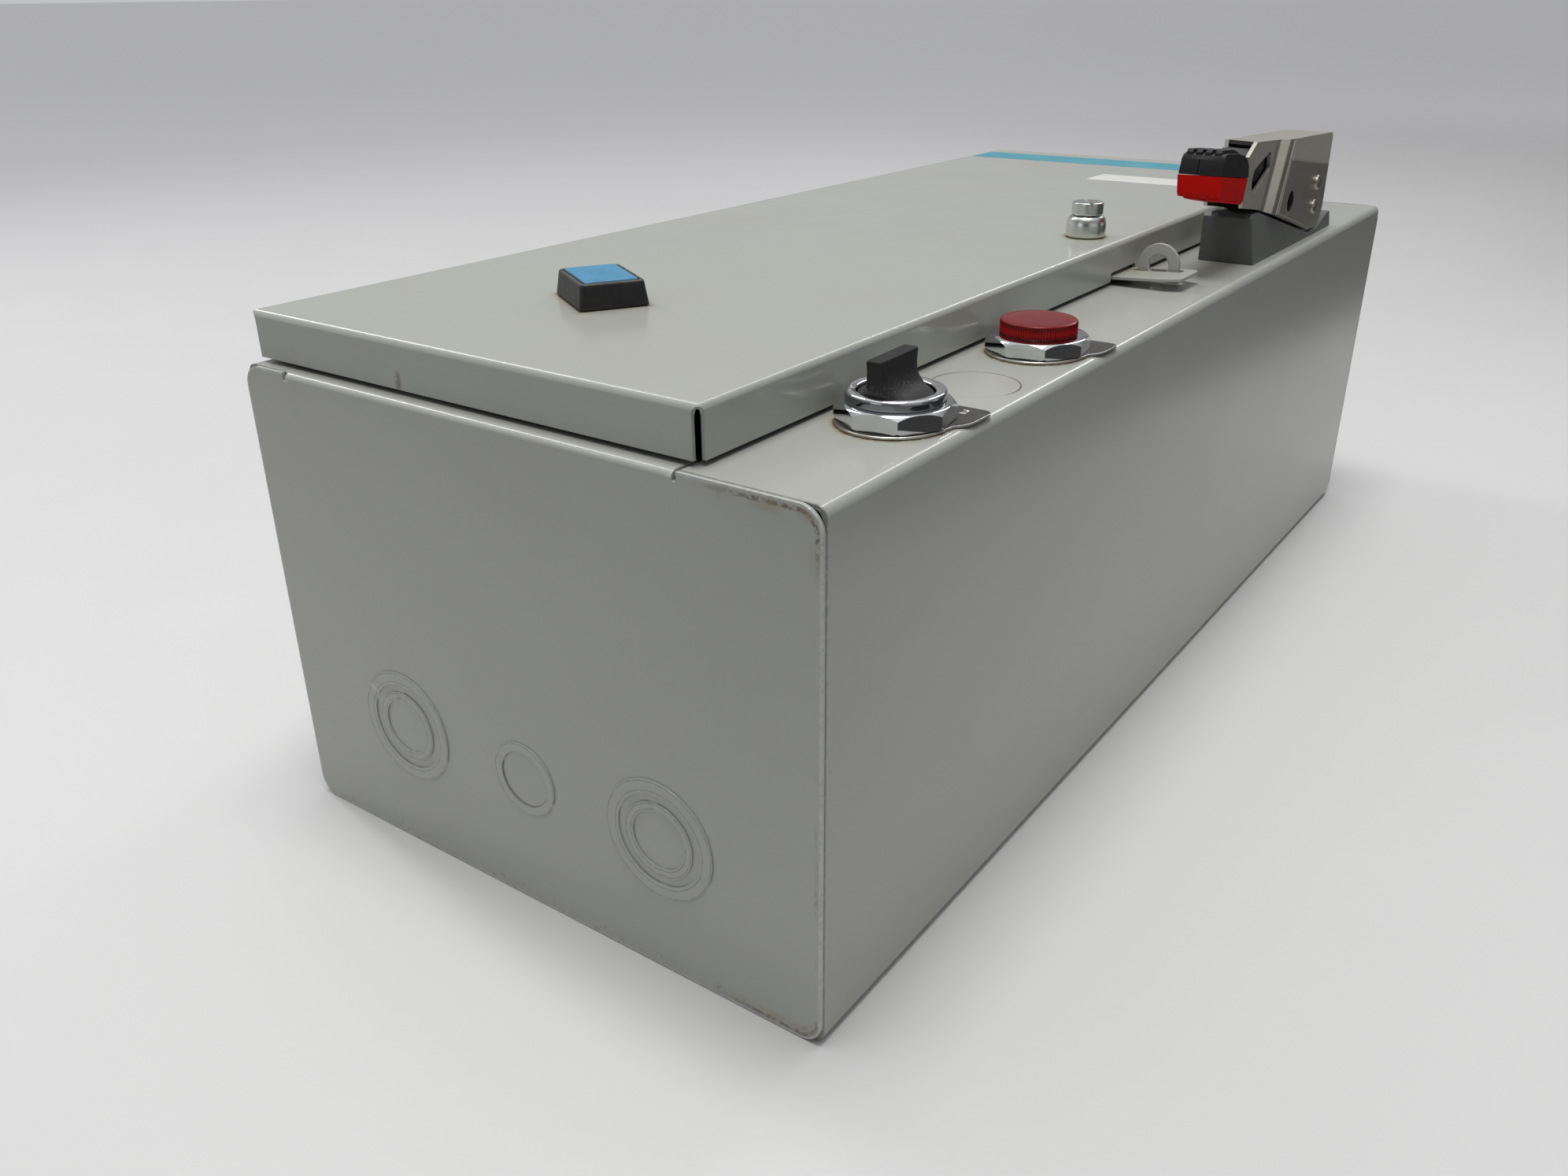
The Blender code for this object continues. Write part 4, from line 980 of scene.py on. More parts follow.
def end_cap(name, node, sign):
    """A plate over the wrap's end, with flanges inside the wrap and a lip at the door opening."""

    def y(depth):
        return sign * (depth - LENGTH / 2)

    w, d, r = WIDTH / 2, DEPTH, CAP_RADIUS
    relief = 0.45
    outline = arc(w - r, r, r, -90, 0, 12) + arc(w - r, d - r, r, 0, 90, 12)
    outline += [(LIP_RIGHT + 1.3, d), (LIP_RIGHT + 1.3, d - 2.6)]
    outline += arc(LIP_RIGHT + 0.3, d - 2.6, 1.0, 0, -180, 10)[1:-1]
    outline += [(LIP_RIGHT - 0.7, d - 2.6), (LIP_RIGHT - 0.7, d - 6.0), (LIP_LEFT + 0.7, d - 6.0), (LIP_LEFT + 0.7, d - 2.6)]
    outline += arc(LIP_LEFT - 0.3, d - 2.6, 1.0, 0, -180, 10)[1:-1]
    outline += [(LIP_LEFT - 1.3, d - 2.6), (LIP_LEFT - 1.3, d)]
    outline += arc(r - w, d - r, r, 90, 180, 12) + arc(r - w, r, r, 180, 270, 12)
    made = prism(name, outline, y(0), y(SHEET), "y", CAP_SKIN)
    inner = SHEET + 0.4
    flange = []
    for shift in (inner, inner + SHEET):
        fr = max(BODY_BEND - shift, 2.0)
        side = [(w - shift, d - 14)] + arc(w - shift - fr, shift + fr, fr, 0, -90, 6)
        side += arc(shift + fr - w, shift + fr, fr, -90, -180, 6) + [(shift - w, d - 14)]
        flange.append(side)
    skirt = prism("skirt", flange[0] + flange[1][::-1], y(SHEET - 0.6), y(15), "y")

    def bend(radius, stops):
        return [
            (
                y(LIP_BEND - radius * math.cos(math.radians(a))),
                d - LIP_BEND + radius * math.sin(math.radians(a)),
            )
            for a in stops
        ]

    lip = [(y(0), d - 9), (y(0), d - LIP_BEND)] + bend(LIP_BEND, range(10, 91, 10))
    lip += [(y(CAP_LIP), d), (y(CAP_LIP), d - SHEET), (y(LIP_BEND), d - SHEET)]
    lip += bend(LIP_BEND - SHEET, range(75, -1, -15)) + [(y(SHEET), d - 9)]
    fold = prism("fold", lip, LIP_LEFT + relief, LIP_RIGHT - relief, "x")
    join(made, skirt, fold)
    rings = []
    for x in KNOCKOUTS:
        radii = [(12.1, 16.1)] if x == KNOCKOUTS[1] else [(19.2, 25.0), (12.0, 15.9)]
        for k, (low, high) in enumerate(radii):
            tabs = (152.0, -28.0) if k == 0 else (96.0, -84.0)
            rings.append(raised_ring("ring", x, KNOCKOUT_Z, low, high, y(0), sign, 0.7, tabs))
    join(made, *rings)
    return show(made, "enclosure", node, slot="grey_enamel", angle=25.0, bevel=0.22)


end_cap("bottom_end_plate", "bottom_end_cap", 1.0)
end_cap("top_end_plate", "top_end_cap", -1.0)


# ----------------------------------------------------------------------- door
def tray(name, x, y, z, radius, steps, mat=None):
    """A block with its upper edges rounded."""
    bm = bmesh.new()
    bmesh.ops.create_cube(bm, size=1.0)
    for vert in bm.verts:
        vert.co = Vector(
            (
                x[0] if vert.co.x < 0 else x[1],
                y[0] if vert.co.y < 0 else y[1],
                z[0] if vert.co.z < 0 else z[1],
            )
        ) * MM
    top = [e for e in bm.edges if all(v.co.z > (z[0] + z[1]) / 2 * MM for v in e.verts)]
    bmesh.ops.bevel(bm, geom=top, offset=radius * MM, segments=steps, profile=0.5, affect="EDGES")
    return obj_from(bm, name, mat)


def ball(name, centre, radii):
    bm = bmesh.new()
    bmesh.ops.create_uvsphere(bm, u_segments=32, v_segments=20, radius=1.0)
    for vert in bm.verts:
        vert.co = Vector([c + r * v for c, r, v in zip(centre, radii, vert.co)]) * MM
    return obj_from(bm, name)


door_y = (fb(DOOR_Y[0]), fb(DOOR_Y[1]))
door = tray("door_pan", DOOR_X, door_y, DOOR_Z, DOOR_BEND, 9, DOOR_SKIN)
slits = []
for cx, sx in ((DOOR_X[0], 1), (DOOR_X[1], -1)):
    for cy, sy in ((door_y[0], 1), (door_y[1], -1)):
        xs = sorted((cx - 5 * sx, cx + DOOR_SLIT * sx))
        ys = sorted((cy - 5 * sy, cy + DOOR_SLIT * sy))
        slits.append(box("c", (xs[0], ys[0], 190), (xs[1], ys[1], 219.9)))
        slits.append(ball("c", (cx + 0.55 * sx, cy + 0.55 * sy, 219.9), (2.45, 2.45, 3.0)))
cut(
    door,
    tray(
        "c",
        (DOOR_X[0] + SHEET, DOOR_X[1] - SHEET),
        (door_y[0] + SHEET, door_y[1] - SHEET),
        (190.0, DOOR_TOP - SHEET),
        DOOR_BEND - SHEET,
        6,
    ),
    *slits,
    box("c", (80, fb(HASP_Y[0] - 1.2), 200), (95, fb(HASP_Y[1] + 1.2), 209.5)),
    rod("c", LATCH[0], fb(LATCH[1]), 5.3, 215, 230),
    rod("c", RESET[0], fb(RESET[1]), 6.0, 215, 230),
)
show(door, "door", "door_panel", slot="grey_enamel", bevel=0.2)

band = plate(
    "door_band",
    rounded((DOOR_X[0] + DOOR_X[1]) / 2, fb(619.0), DOOR_X[1] - DOOR_X[0] - 9.0, 31.0, 0.6, 3),
    DOOR_TOP + 0.02,
    DOOR_TOP + 0.10,
    0.03,
    mat=STRIPE,
)
show(band, "door")
label = plate("door_label", rounded(23.0, fb(545.0), 74.0, 28.0, 1.5, 4), DOOR_TOP + 0.02, DOOR_TOP + 0.12, 0.03, mat=LABEL)
show(label, "door")

# --------------------------------------------------------------------- hinges
for where, middle in HINGE_AT.items():
    ax, az = HINGE_AXIS
    y0, y1 = fb(middle - HINGE_LENGTH / 2), fb(middle + HINGE_LENGTH / 2)
    a, b = y0 + 19.0, y1 - 19.0
    leaf_x = (-WIDTH / 2 - GAP - 1.4, -WIDTH / 2 - GAP)
    body_leaf = prism(f"{where}_hinge_leaf_fixed", rounded((y0 + y1) / 2, 184.4, y1 - y0, 33.0, 3.0), *leaf_x, "x", ZINC)
    join(
        body_leaf,
        box("u", (leaf_x[0], y0, 194), (leaf_x[1], a, az)),
        box("u", (leaf_x[0], b, 194), (leaf_x[1], y1, az)),
        rod("u", ax, az, HINGE_R, y0, a, "y", 40),
        rod("u", ax, az, HINGE_R, b, y1, "y", 40),
    )
    cut(body_leaf, rod("c", ax, az, HINGE_PIN_R + GAP, y0 - 5, y1 + 5, "y", 32))
    for y in (y0 + 10, (y0 + y1) / 2, y1 - 10):
        rivet = lathe("u", (y, 178.0), [(0, -141.9)] + bent([(2.0, -141.9), (3.4, -141.7), (3.9, -141.2)], 4) + [(3.9, -140.9), (0, -140.9)], 32, axis="x")
        merge(body_leaf, rivet)
    show(body_leaf, "enclosure", f"{where}_hinge_body_leaf", slot="zinc_plate", bevel=0.25)
    door_leaf_x = (DOOR_X[0] - GAP - 1.4, DOOR_X[0] - GAP)
    door_leaf = prism(f"{where}_hinge_leaf_door", rounded((y0 + y1) / 2, 215.0, y1 - y0, 8.0, 1.5), *door_leaf_x, "x", ZINC)
    join(
        door_leaf,
        box("u", (door_leaf_x[0], a + 0.4, az), (door_leaf_x[1], b - 0.4, 214)),
        rod("u", ax, az, HINGE_R, a + 0.4, b - 0.4, "y", 40),
    )
    cut(door_leaf, rod("c", ax, az, HINGE_PIN_R + GAP, y0 - 5, y1 + 5, "y", 32))
    for y in (y0 + 8, y1 - 8):
        rivet = lathe("u", (y, 215.0), [(0, -141.5)] + bent([(1.4, -141.5), (2.3, -141.35), (2.7, -141.0)], 4) + [(2.7, -140.7), (0, -140.7)], 32, axis="x")
        merge(door_leaf, rivet)
    show(door_leaf, "door", f"{where}_hinge_door_leaf", slot="zinc_plate", bevel=0.25)
    pin = lathe(
        f"{where}_hinge_rod",
        (ax, az),
        [(0, y0 - 3.2), (2.8, y0 - 3.2), (3.4, y0 - 2.9), (3.6, y0 - 2.4), (3.6, y0 - 0.5), (HINGE_PIN_R, y0 - 0.5),
         (HINGE_PIN_R, y1 + 0.5), (HINGE_PIN_R - 0.5, y1 + 1.0), (0, y1 + 1.0)],
        32,
        ZINC,
        "y",
    )
    show(pin, "enclosure", f"{where}_hinge_pin", slot="zinc_plate")

# ---------------------------------------------------------------------- latch
lx, ly = LATCH[0], fb(LATCH[1])
t = DOOR_TOP
bell = bent([(9.6, t + 0.8), (9.75, t + 2.4), (9.75, t + 4.8), (9.58, t + 7.0), (9.05, t + 8.8), (8.2, t + 9.95), (7.3, t + 10.35)], 5)
latch_bushing = lathe(
    "latch_bell",
    (lx, ly),
    [(4.5, 216.5), (4.9, 216.5), (4.9, t + GAP), (9.3, t + GAP), (9.5, t + 0.45)] + bell + [(4.5, t + 10.3)],
    72,
    LATCH_ZINC,
)
show(latch_bushing, "door", "latch_bushing", slot="zinc_plate")
latch_screw = lathe(
    "latch_head",
    (lx, ly),
    [(0, 181.0), (3.4, 181.0), (4.0, 181.6), (4.0, t + 10.8), (7.0, t + 10.8)]
    + bent([(7.35, t + 10.95), (7.62, t + 11.3), (7.7, t + 11.8)], 4)
    + [(7.7, t + 15.9)]
    + bent([(7.66, t + 16.2), (7.45, t + 16.6), (7.0, t + 16.85)], 4)
    + [(6.6, t + 16.9), (0, t + 16.9)],
    72,
    LATCH_ZINC,
)
cut(latch_screw, turned(box("c", (lx - 10, ly - 0.9, t + 15.0), (lx + 10, ly + 0.9, 250)), (lx, ly, 0), 126.0))
show(latch_screw, "latch", "latch_screw", slot="zinc_plate")
pawl = [(lx - 6, ly - 24), (lx - 3, ly - 27), (lx + 3, ly - 27), (lx + 6, ly - 24)] + arc(lx, ly, 7.0, -20, 200, 16)
latch_pawl = plate("latch_cam", pawl, 187.8, 190.6, 0.3, mat=ZINC, both=True)
cut(latch_pawl, rod("c", lx, ly, 4.3, 180, 200))
show(latch_pawl, "latch", "latch_pawl", slot="zinc_plate")
nut = rod("latch_hex", lx, ly, 7.5, 183.4, 187.4, count=6, mat=ZINC)
keep(nut, lathe("c", (lx, ly), [(0, 183.4), (6.4, 183.4), (7.6, 184.1), (7.6, 186.7), (6.4, 187.4), (0, 187.4)], 48))
cut(nut, rod("c", lx, ly, 4.3, 180, 200))
show(nut, "latch", "latch_nut", slot="zinc_plate")

# ----------------------------------------------------------- hasp and staple
y0, y1 = fb(HASP_Y[0]), fb(HASP_Y[1])
sx, sy = STAPLE[0], fb(STAPLE[1])
tongue_plan = [(84.2, y0), (116.0, y0)] + arc(121.0, y0 + 5.0, 3.0, -60, 0, 5) + arc(119.0, y1 - 5.0, 5.0, 0, 90, 6) + [(84.2, y1)]
hasp = plate("hasp_tongue", tongue_plan, 205.7, 207.3, 0.3, mat=HASP_SKIN, both=True)
join(hasp, box("u", (84.2, y0, 206.5), (85.8, y1, 219.0)))
cut(hasp, prism("c", rounded(sx, sy, 25.0, 6.0, 1.5), 200, 210))
turned(hasp, (84.2, 0.0, 206.5), -3.6, "Y")
show(hasp, "door", "hasp_plate", slot="grey_enamel", bevel=0.15)
ring = [(sx - 10.9, DEPTH + GAP), (sx + 10.9, DEPTH + GAP), (sx + 10.6, DEPTH + 2.0)] + arc(sx, 211.3, 10.5, 0, 180, 28)
ring += [(sx - 10.6, DEPTH + 2.0)]
staple = plate("padlock_ring", ring, sy - 1.3, sy + 1.3, 0.35, "y", HASP_SKIN, both=True)
cut(staple, lathe("c", (sx, 211.3), [(0, sy - 5), (5.6, sy - 5), (5.6, sy - 1.3), (4.9, sy - 0.7), (4.9, sy + 0.7), (5.6, sy + 1.3), (5.6, sy + 5), (0, sy + 5)], 48, axis="y"))
show(staple, "enclosure", "lock_staple", slot="grey_enamel", angle=28.0)

# --------------------------------------------------------------- reset button
rx, ry = RESET[0], fb(RESET[1])


def boot_row(width, height, radius, z):
    return spun(rounded(rx, ry, width, height, radius, 6), rx, ry, RESET_TURN), z


boot = loft(
    "reset_shroud",
    [
        boot_row(37.9, 28.1, 2.0, t + GAP),
        boot_row(38.4, 28.6, 2.2, t + 0.7),
        boot_row(37.5, 27.3, 2.3, t + 5.0),
        boot_row(36.6, 26.3, 2.4, t + 8.9),
        boot_row(36.3, 25.9, 2.3, t + 9.7),
        boot_row(35.6, 25.2, 2.0, t + 10.15),
        boot_row(34.8, 24.4, 1.7, t + 10.25),
        boot_row(33.6, 23.2, 1.4, t + 10.2),
        boot_row(33.1, 22.7, 1.3, t + 9.8),
        boot_row(32.9, 22.5, 1.2, t + 3.0),
    ],
    mat=BOOT,
)
cut(boot, rod("c", rx, ry, 4.0, 215, 240, count=32))
show(boot, "door", "reset_boot", slot="black_plastic", angle=50.0)
cap_rows = [
    boot_row(32.2, 21.8, 1.1, t + 8.4),
    boot_row(32.2, 21.8, 1.1, t + 10.0),
    boot_row(31.9, 21.5, 1.1, t + 10.5),
    boot_row(31.2, 20.8, 1.0, t + 10.75),
    boot_row(29.6, 19.2, 1.0, t + 10.86),
    boot_row(22.0, 12.0, 1.0, t + 10.98),
    boot_row(10.0, 4.0, 1.0, t + 11.0),
]
cap = loft("reset_button_face", cap_rows, mat=BLUE)
show(cap, "reset_button", "reset_cap", slot="blue_plastic", angle=50.0)

# ------------------------------------------------------------ control devices
def legend(name, node, y):
    """A plate with a round lower half and a square tab above the device."""
    cx, cy = CONTROL_X, fb(y)
    outline = [(cx + 20.3 * (u - cx) / 21.9, v) for u, v in arc(cx, cy, 21.9, 187, 353, 48)]
    outline += bent([(cx + 21.0, cy + 2.6), (cx + 24.0, cy + 8.0), (cx + 24.9, cy + 13.0)], 3)[:-1] + arc(cx + 21.4, cy + 21.3, 3.5, 0, 90, 8)
    outline += arc(cx - 21.4, cy + 21.3, 3.5, 90, 180, 8) + bent([(cx - 24.9, cy + 13.0), (cx - 24.0, cy + 8.0), (cx - 21.0, cy + 2.6)], 3)[1:]
    made = loft(
        name,
        [(outline, DEPTH + GAP), (outline, DEPTH + 1.0), (inset(outline, 0.16), DEPTH + 1.16), (inset(outline, 0.55), DEPTH + 1.2)],
        mat=LEGEND,
    )
    cut(made, rod("c", cx, cy, CONTROL_HOLE_R, 190, 220, count=64))
    made.data.materials.append(LEGEND_EDGE)
    for face in made.data.polygons:
        if abs(face.normal.z) < 0.97:
            face.material_index = 1
    return show(made, "enclosure", node, slot="legend_black", angle=40.0)


def ring_nut(name, node, y, top):
    """An octagonal ring nut, its upper corners turned off on a cone."""
    cx, cy = CONTROL_X, fb(y)
    corner = NUT_FLATS / 2 / math.cos(math.pi / 8)
    flat = NUT_FLATS / 2
    made = rod(name, cx, cy, corner, DEPTH + 1.5, top, count=8, mat=CHROME, turn=-12.0)
    slope = [(0, DEPTH + 1.5), (corner - 0.5, DEPTH + 1.5), (corner + 0.05, DEPTH + 2.0), (corner + 0.05, top - 2.15)]
    slope += bent([(corner - 0.05, top - 2.0), (flat + 0.9, top - 1.3), (flat, top - 0.5), (flat - 1.2, top - 0.12), (flat - 2.4, top)], 4)
    slope += [(0, top)]
    keep(made, lathe("c", (cx, cy), slope, 160))
    cut(made, rod("c", cx, cy, 15.2, 190, 230, count=64))
    return show(made, "enclosure", node, slot="chrome", angle=24.0, bevel=0.12)


legend("selector_tag", "selector_legend_plate", SELECTOR_Y)
ring_nut("selector_ring_nut", "selector_nut", SELECTOR_Y, 211.3)
cx, cy = CONTROL_X, fb(SELECTOR_Y)
bezel = bent([(17.5, 213.3), (17.42, 214.1), (17.0, 214.75), (16.2, 215.05), (15.2, 215.0), (14.3, 214.8), (13.7, 214.5), (13.4, 214.0)], 4)
bushing = lathe(
    "selector_bezel",
    (cx, cy),
    [(4.4, 190.0), (14.8, 190.0), (14.8, 211.34), (17.2, 211.34), (17.42, 211.45), (17.5, 211.7)] + bezel + [(13.4, 205.0), (4.4, 205.0)],
    96,
    CHROME,
)
show(bushing, "enclosure", "selector_bushing", slot="chrome", angle=40.0)


def squircle(a, b, power, away, count=96):
    """A rounded slab's outline, turned with the knob; the blade stands a little off the middle."""
    made = []
    for i in range(count):
        angle = 2 * math.pi * i / count
        c, s = math.cos(angle), math.sin(angle)
        made.append(
            (
                cx - 0.9 * away + a * math.copysign(abs(c) ** (2 / power), c),
                cy - 1.1 * away + b * math.copysign(abs(s) ** (2 / power), s),
            )
        )
    return spun(made, cx - 0.9 * away, cy - 1.1 * away, 1.5)


knob_rows = [
    (12.4, 12.4, 2.0, 205.4), (13.1, 13.1, 2.0, 206.0), (13.1, 13.1, 2.0, 213.3), (12.6, 12.9, 2.0, 213.65),
    (10.8, 12.75, 2.3, 213.95), (8.8, 12.6, 2.8, 214.45), (7.2, 12.5, 3.4, 215.2), (6.0, 12.5, 4.2, 216.1),
    (5.0, 12.2, 5.0, 217.3), (4.2, 11.95, 6.5, 218.9), (3.6, 11.95, 9.0, 220.7), (3.2, 12.2, 12.0, 222.7),
    (3.0, 12.6, 16.0, 224.8), (3.0, 12.85, 16.0, 226.2), (2.85, 12.7, 16.0, 226.65), (2.5, 12.35, 16.0, 226.85),
]
knob = loft(
    "selector_handle",
    [(squircle(a, b, p, min(1.0, max(0.0, (z - 213.4) / 5.0))), z) for a, b, p, z in knob_rows],
    mat=KNOB,
)
join(knob, rod("u", cx, cy, 4.0, 184.0, 206.0, count=32))
show(knob, "selector", "selector_knob", slot="black_plastic", angle=48.0)


def numerals():
    """The plain position numbers 1, 0 and 2 on the selector's tag."""
    meshes = []
    for text, x in (("1", -15.5), ("0", 0.0), ("2", 16.6)):
        curve = bpy.data.curves.new("numeral", "FONT")
        curve.body = text
        curve.size = 6.6 * MM
        curve.extrude = 0.04 * MM
        curve.align_x, curve.align_y = "CENTER", "CENTER"
        curve.resolution_u = 6
        holder = bpy.data.objects.new("numeral", curve)
        SCENE.collection.objects.link(holder)
        bpy.context.view_layer.update()
        graph = bpy.context.evaluated_depsgraph_get()
        mesh = bpy.data.meshes.new_from_object(holder.evaluated_get(graph))
        mesh.transform(Matrix.Translation(Vector((cx + x, cy + 18.6, DEPTH + 1.24)) * MM))
        made = bpy.data.objects.new("numeral_mesh", mesh)
        SCENE.collection.objects.link(made)
        bpy.data.objects.remove(holder, do_unlink=True)
        meshes.append(made)
    first = merge(meshes[0], *meshes[1:])
    first.name = "selector_numerals"
    first.data.materials.clear()
    first.data.materials.append(PRINT)
    return show(first, "enclosure")


numerals()
legend("pilot_tag", "pilot_legend_plate", PILOT_Y)
ring_nut("pilot_ring_nut", "pilot_nut", PILOT_Y, 211.0)
py = fb(PILOT_Y)
lens_profile = [(0, 214.6), (13.4, 214.4), (13.4, 211.15), (15.3, 211.15), (15.5, 211.3), (15.5, 211.6), (15.5, 215.7), (15.5, 215.95)]
lens_profile += bent([(15.25, 216.35), (14.8, 216.62), (14.2, 216.75), (11.0, 216.88), (5.0, 216.97), (0.0, 217.0)], 3)
RIBBED = {5: 1.0, 6: 1.0, 4: 0.4, 7: 0.7}


def rib(index, radius, angle):
    return radius - 0.34 * RIBBED.get(index, 0.0) * (0.5 - 0.5 * math.cos(88 * angle)) ** 0.7


lens = lathe("pilot_jewel", (cx, py), lens_profile, 528, LENS, radius_at=rib)
show(lens, "enclosure", "pilot_lens", slot="red_lens", angle=35.0)

# --------------------------------------------------------------------- handle
hx = HANDLE_X
pv_y, pv_z = fb(PIVOT[0]), PIVOT[1]
base = prism(
    "handle_foot",
    [
        (fb(414.5), DEPTH + GAP), (fb(565.0), DEPTH + GAP), (fb(565.0), 211.2), (fb(562.5), 212.0),
        (fb(535.0), 205.5), (fb(517.0), 205.5), (fb(426.0), 228.5), (fb(416.5), 228.5), (fb(414.5), 226.5),
    ],
    hx - 14.5,
    hx + 14.5,
    "x",
    CAST,
)
cheek = [(pv_y - 15, 204.5), (pv_y + 15, 204.5)] + arc(pv_y, pv_z, 13, 0, 180, 24)
join(base, prism("u", cheek, hx - 8.4, hx - 4.2, "x"), prism("u", cheek, hx + 4.2, hx + 8.4, "x"))
cut(
    base,
    box("c", (hx - 4.2, fb(CRANK_SLOT_Y[0]) + 0.2, 190), (hx + 4.2, fb(CRANK_SLOT_Y[1]) - 0.2, 260)),
    rod("c", pv_y, pv_z, 4.3, hx - 20, hx + 20, "x", 32),
    prism("c", [(hx - 11.0, 240)] + arc(hx - 8.0, 228.6, 3.0, 180, 270, 8) + arc(hx - 5.0, 228.6, 3.0, 270, 360, 8) + [(hx - 2.0, 240)], fb(410), fb(424), "y"),
    prism("c", [(hx + 14.5, 203), (hx + 10.3, 229), (hx + 20, 229), (hx + 20, 203)], fb(400), fb(580), "y"),
)
show(base, "enclosure", "handle_base", slot="cast_grey", angle=22.0, bevel=0.7, segments=3)

JOGGLE_LEAN = 0.42


def lever_plan(name, half_near, half_far, y0, y1):
    rows = []
    for z in (190.0, 280.0):
        lean = JOGGLE_LEAN * (z - 225.0)
        right = [(half_near, y0), (half_near, 432.5 + lean), (half_far, 442.5 + lean), (half_far, y1)]
        rows.append(([(hx + u, fb(y)) for u, y in right] + [(hx - u, fb(y)) for u, y in reversed(right)], z))
    return loft(name, rows)


profile = [(398.0, 234.0), (426.0, 229.8), (519.0, 206.8), (532.0, 206.8)]
profile += arc(532.0, 219.8, 13.0, -80, 0, 10)
profile += bent([(543.6, 254.0), (543.2, 257.2), (541.0, 259.0)], 4) + [(463.0, 262.0), (409.0, 265.0), (398.0, 258.8)]
lever = prism("handle_channel", [(fb(y), z) for y, z in profile], hx - 20, hx + 20, "x", NICKEL)
keep(lever, lever_plan("c", 10.0, 13.3, 390.0, 560.0))
bm = bmesh.new()
bm.from_mesh(lever.data)
top_edges, steps = [], []
for edge in bm.edges:
    one, two = (v.co / MM for v in edge.verts)
    way = (two - one).normalized()
    outer = min(abs(one.x - hx), abs(two.x - hx)) > 9.5
    if outer and min(one.z, two.z) > 254.0 and abs(way.x) < 0.5 and abs(way.z) < 0.75:
        top_edges.append(edge)
    elif outer and abs(way.z) > 0.8 and fb(415) < one.y < fb(480):
        steps.append(edge)
bmesh.ops.bevel(bm, geom=steps, offset=1.6 * MM, segments=5, profile=0.5, affect="EDGES", clamp_overlap=False)
bm.to_mesh(lever.data)
bm.free()
cavity = lever_plan("c", 8.0, 11.3, 402.0, 560.0)
under = [(395.0, 200.0), (560.0, 200.0), (560.0, 256.5), (541.0, 257.0), (463.0, 260.0), (410.0, 263.0), (395.0, 254.4)]
keep(cavity, prism("c2", [(fb(y), z) for y, z in under], hx - 30, hx + 30, "x"))
SCREWS = {"upper": (520.4, 233.2), "lower": (520.2, 219.8)}
window = [(fb(y), z) for y, z in eased([(434.6, 258.6), (437.4, 249.8), (412.8, 238.2), (407.4, 245.2), (409.8, 251.6)], 3.2, 6)]
cut(
    lever,
    cavity,
    rod("c", pv_y, pv_z, 4.3, hx - 20, hx + 20, "x", 32),
    *[rod("c", fb(y), z, 2.0, hx + 8, hx + 20, "x", 24) for y, z in SCREWS.values()],
    prism("c", window, hx + 5, hx + 20, "x"),
    rod("c", fb(471.8), 228.8, 5.5, hx + 5, hx + 20, "x", 40),
    prism("c", [(hx + 8.0, fb(390.0)), (hx + 8.0, fb(409.5)), (hx - 8.0, fb(420.5)), (hx - 8.0, fb(390.0))], 252.0, 280.0, "z"),
    box("c", (hx - 8.0, fb(390.0), 220.0), (hx + 8.0, fb(402.6), 245.6)),
    box("c", (hx - 15.0, fb(390.0), 246.0), (hx - 7.6, fb(420.0), 270.0)),
)


def grip_line(y):
    return 253.9 - 0.122 * (y - 357.0)


def tongue(name, half, y0, y1, grow):
    return prism(
        name,
        [
            (fb(y0), grip_line(y0) - 2.8 - grow), (fb(y1), grip_line(y1) - 2.8 - grow),
            (fb(y1), grip_line(y1) + 2.8 + grow), (fb(y0), grip_line(y0) + 2.8 + grow),
        ],
        hx - half,
        hx + half,
        "x",
    )


pad = bent([(462.6, 251.6), (480.0, 249.4), (500.0, 246.6), (524.0, 243.4), (530.5, 241.4), (534.2, 237.0), (535.0, 230.0)], 4)
pad += [(535.0, 212.0), (519.0, 208.2), (452.6, 224.6)]
join(
    lever,
    tongue("u", 5.0, 372.0, 399.5, 0.0),
    plate("u", [(fb(y), z) for y, z in pad], hx + 12.8, hx + 13.72, 0.3, "x"),
    loft("u", [(ring_points(hx + 12.95, fb(449.6 + JOGGLE_LEAN * (z - 225.8)), 0.85, 20), z) for z in (224.6, 261.2)]),
)
cut(
    lever,
    *[rod("c", fb(y), z, 2.0, hx + 8, hx + 20, "x", 24) for y, z in SCREWS.values()],
    rod("c", fb(471.8), 228.8, 5.5, hx + 5, hx + 20, "x", 40),
)
# Faces inside the channel, under the web and in the round hole take the near-black painted shade.
lever.data.materials.append(LEVER_INSIDE_SHADE)
for face in lever.data.polygons:
    spot = face.center / MM
    inward = face.normal.x * (spot.x - hx) < 0 and abs(face.normal.x) > 0.5 and abs(spot.x - hx) < 12.2
    if inward and spot.y > fb(402.2) or (face.normal.z < -0.6 and spot.z > 250.0 and spot.y > fb(402.2)):
        face.material_index = 1
    if abs(face.normal.x) < 0.4 and math.hypot(spot.y - fb(471.8), spot.z - 228.8) < 6.0:
        face.material_index = 1
show(lever, "handle", "handle_lever", slot="nickel_plate", angle=24.0, bevel=0.5, segments=3)


def grip(name, node, outline, mat, slot, low, high, ribs, places):
    """One half of the grip: its sides drawn in, with ribs along it for the fingers."""
    points = [(fb(y), z) for y, z in outline]
    made = prism(name, points, hx - 14.0, hx + 14.0, "x", mat)
    keep(
        made,
        prism("c", [(hx - low[0], low[1]), (hx + low[0], low[1]), (hx + high[0], high[1]), (hx - high[0], high[1])], fb(340), fb(410), "y"),
    )
    bars = [plate("u", [(fb(y), z) for y, z in ribs], hx + x - 1.6, hx + x + 1.6, 0.35, "x", both=True) for x in places]
    join(made, *bars)
    cut(made, tongue("c", 5.3, 371.6, 405.0, 0.4))
    return made


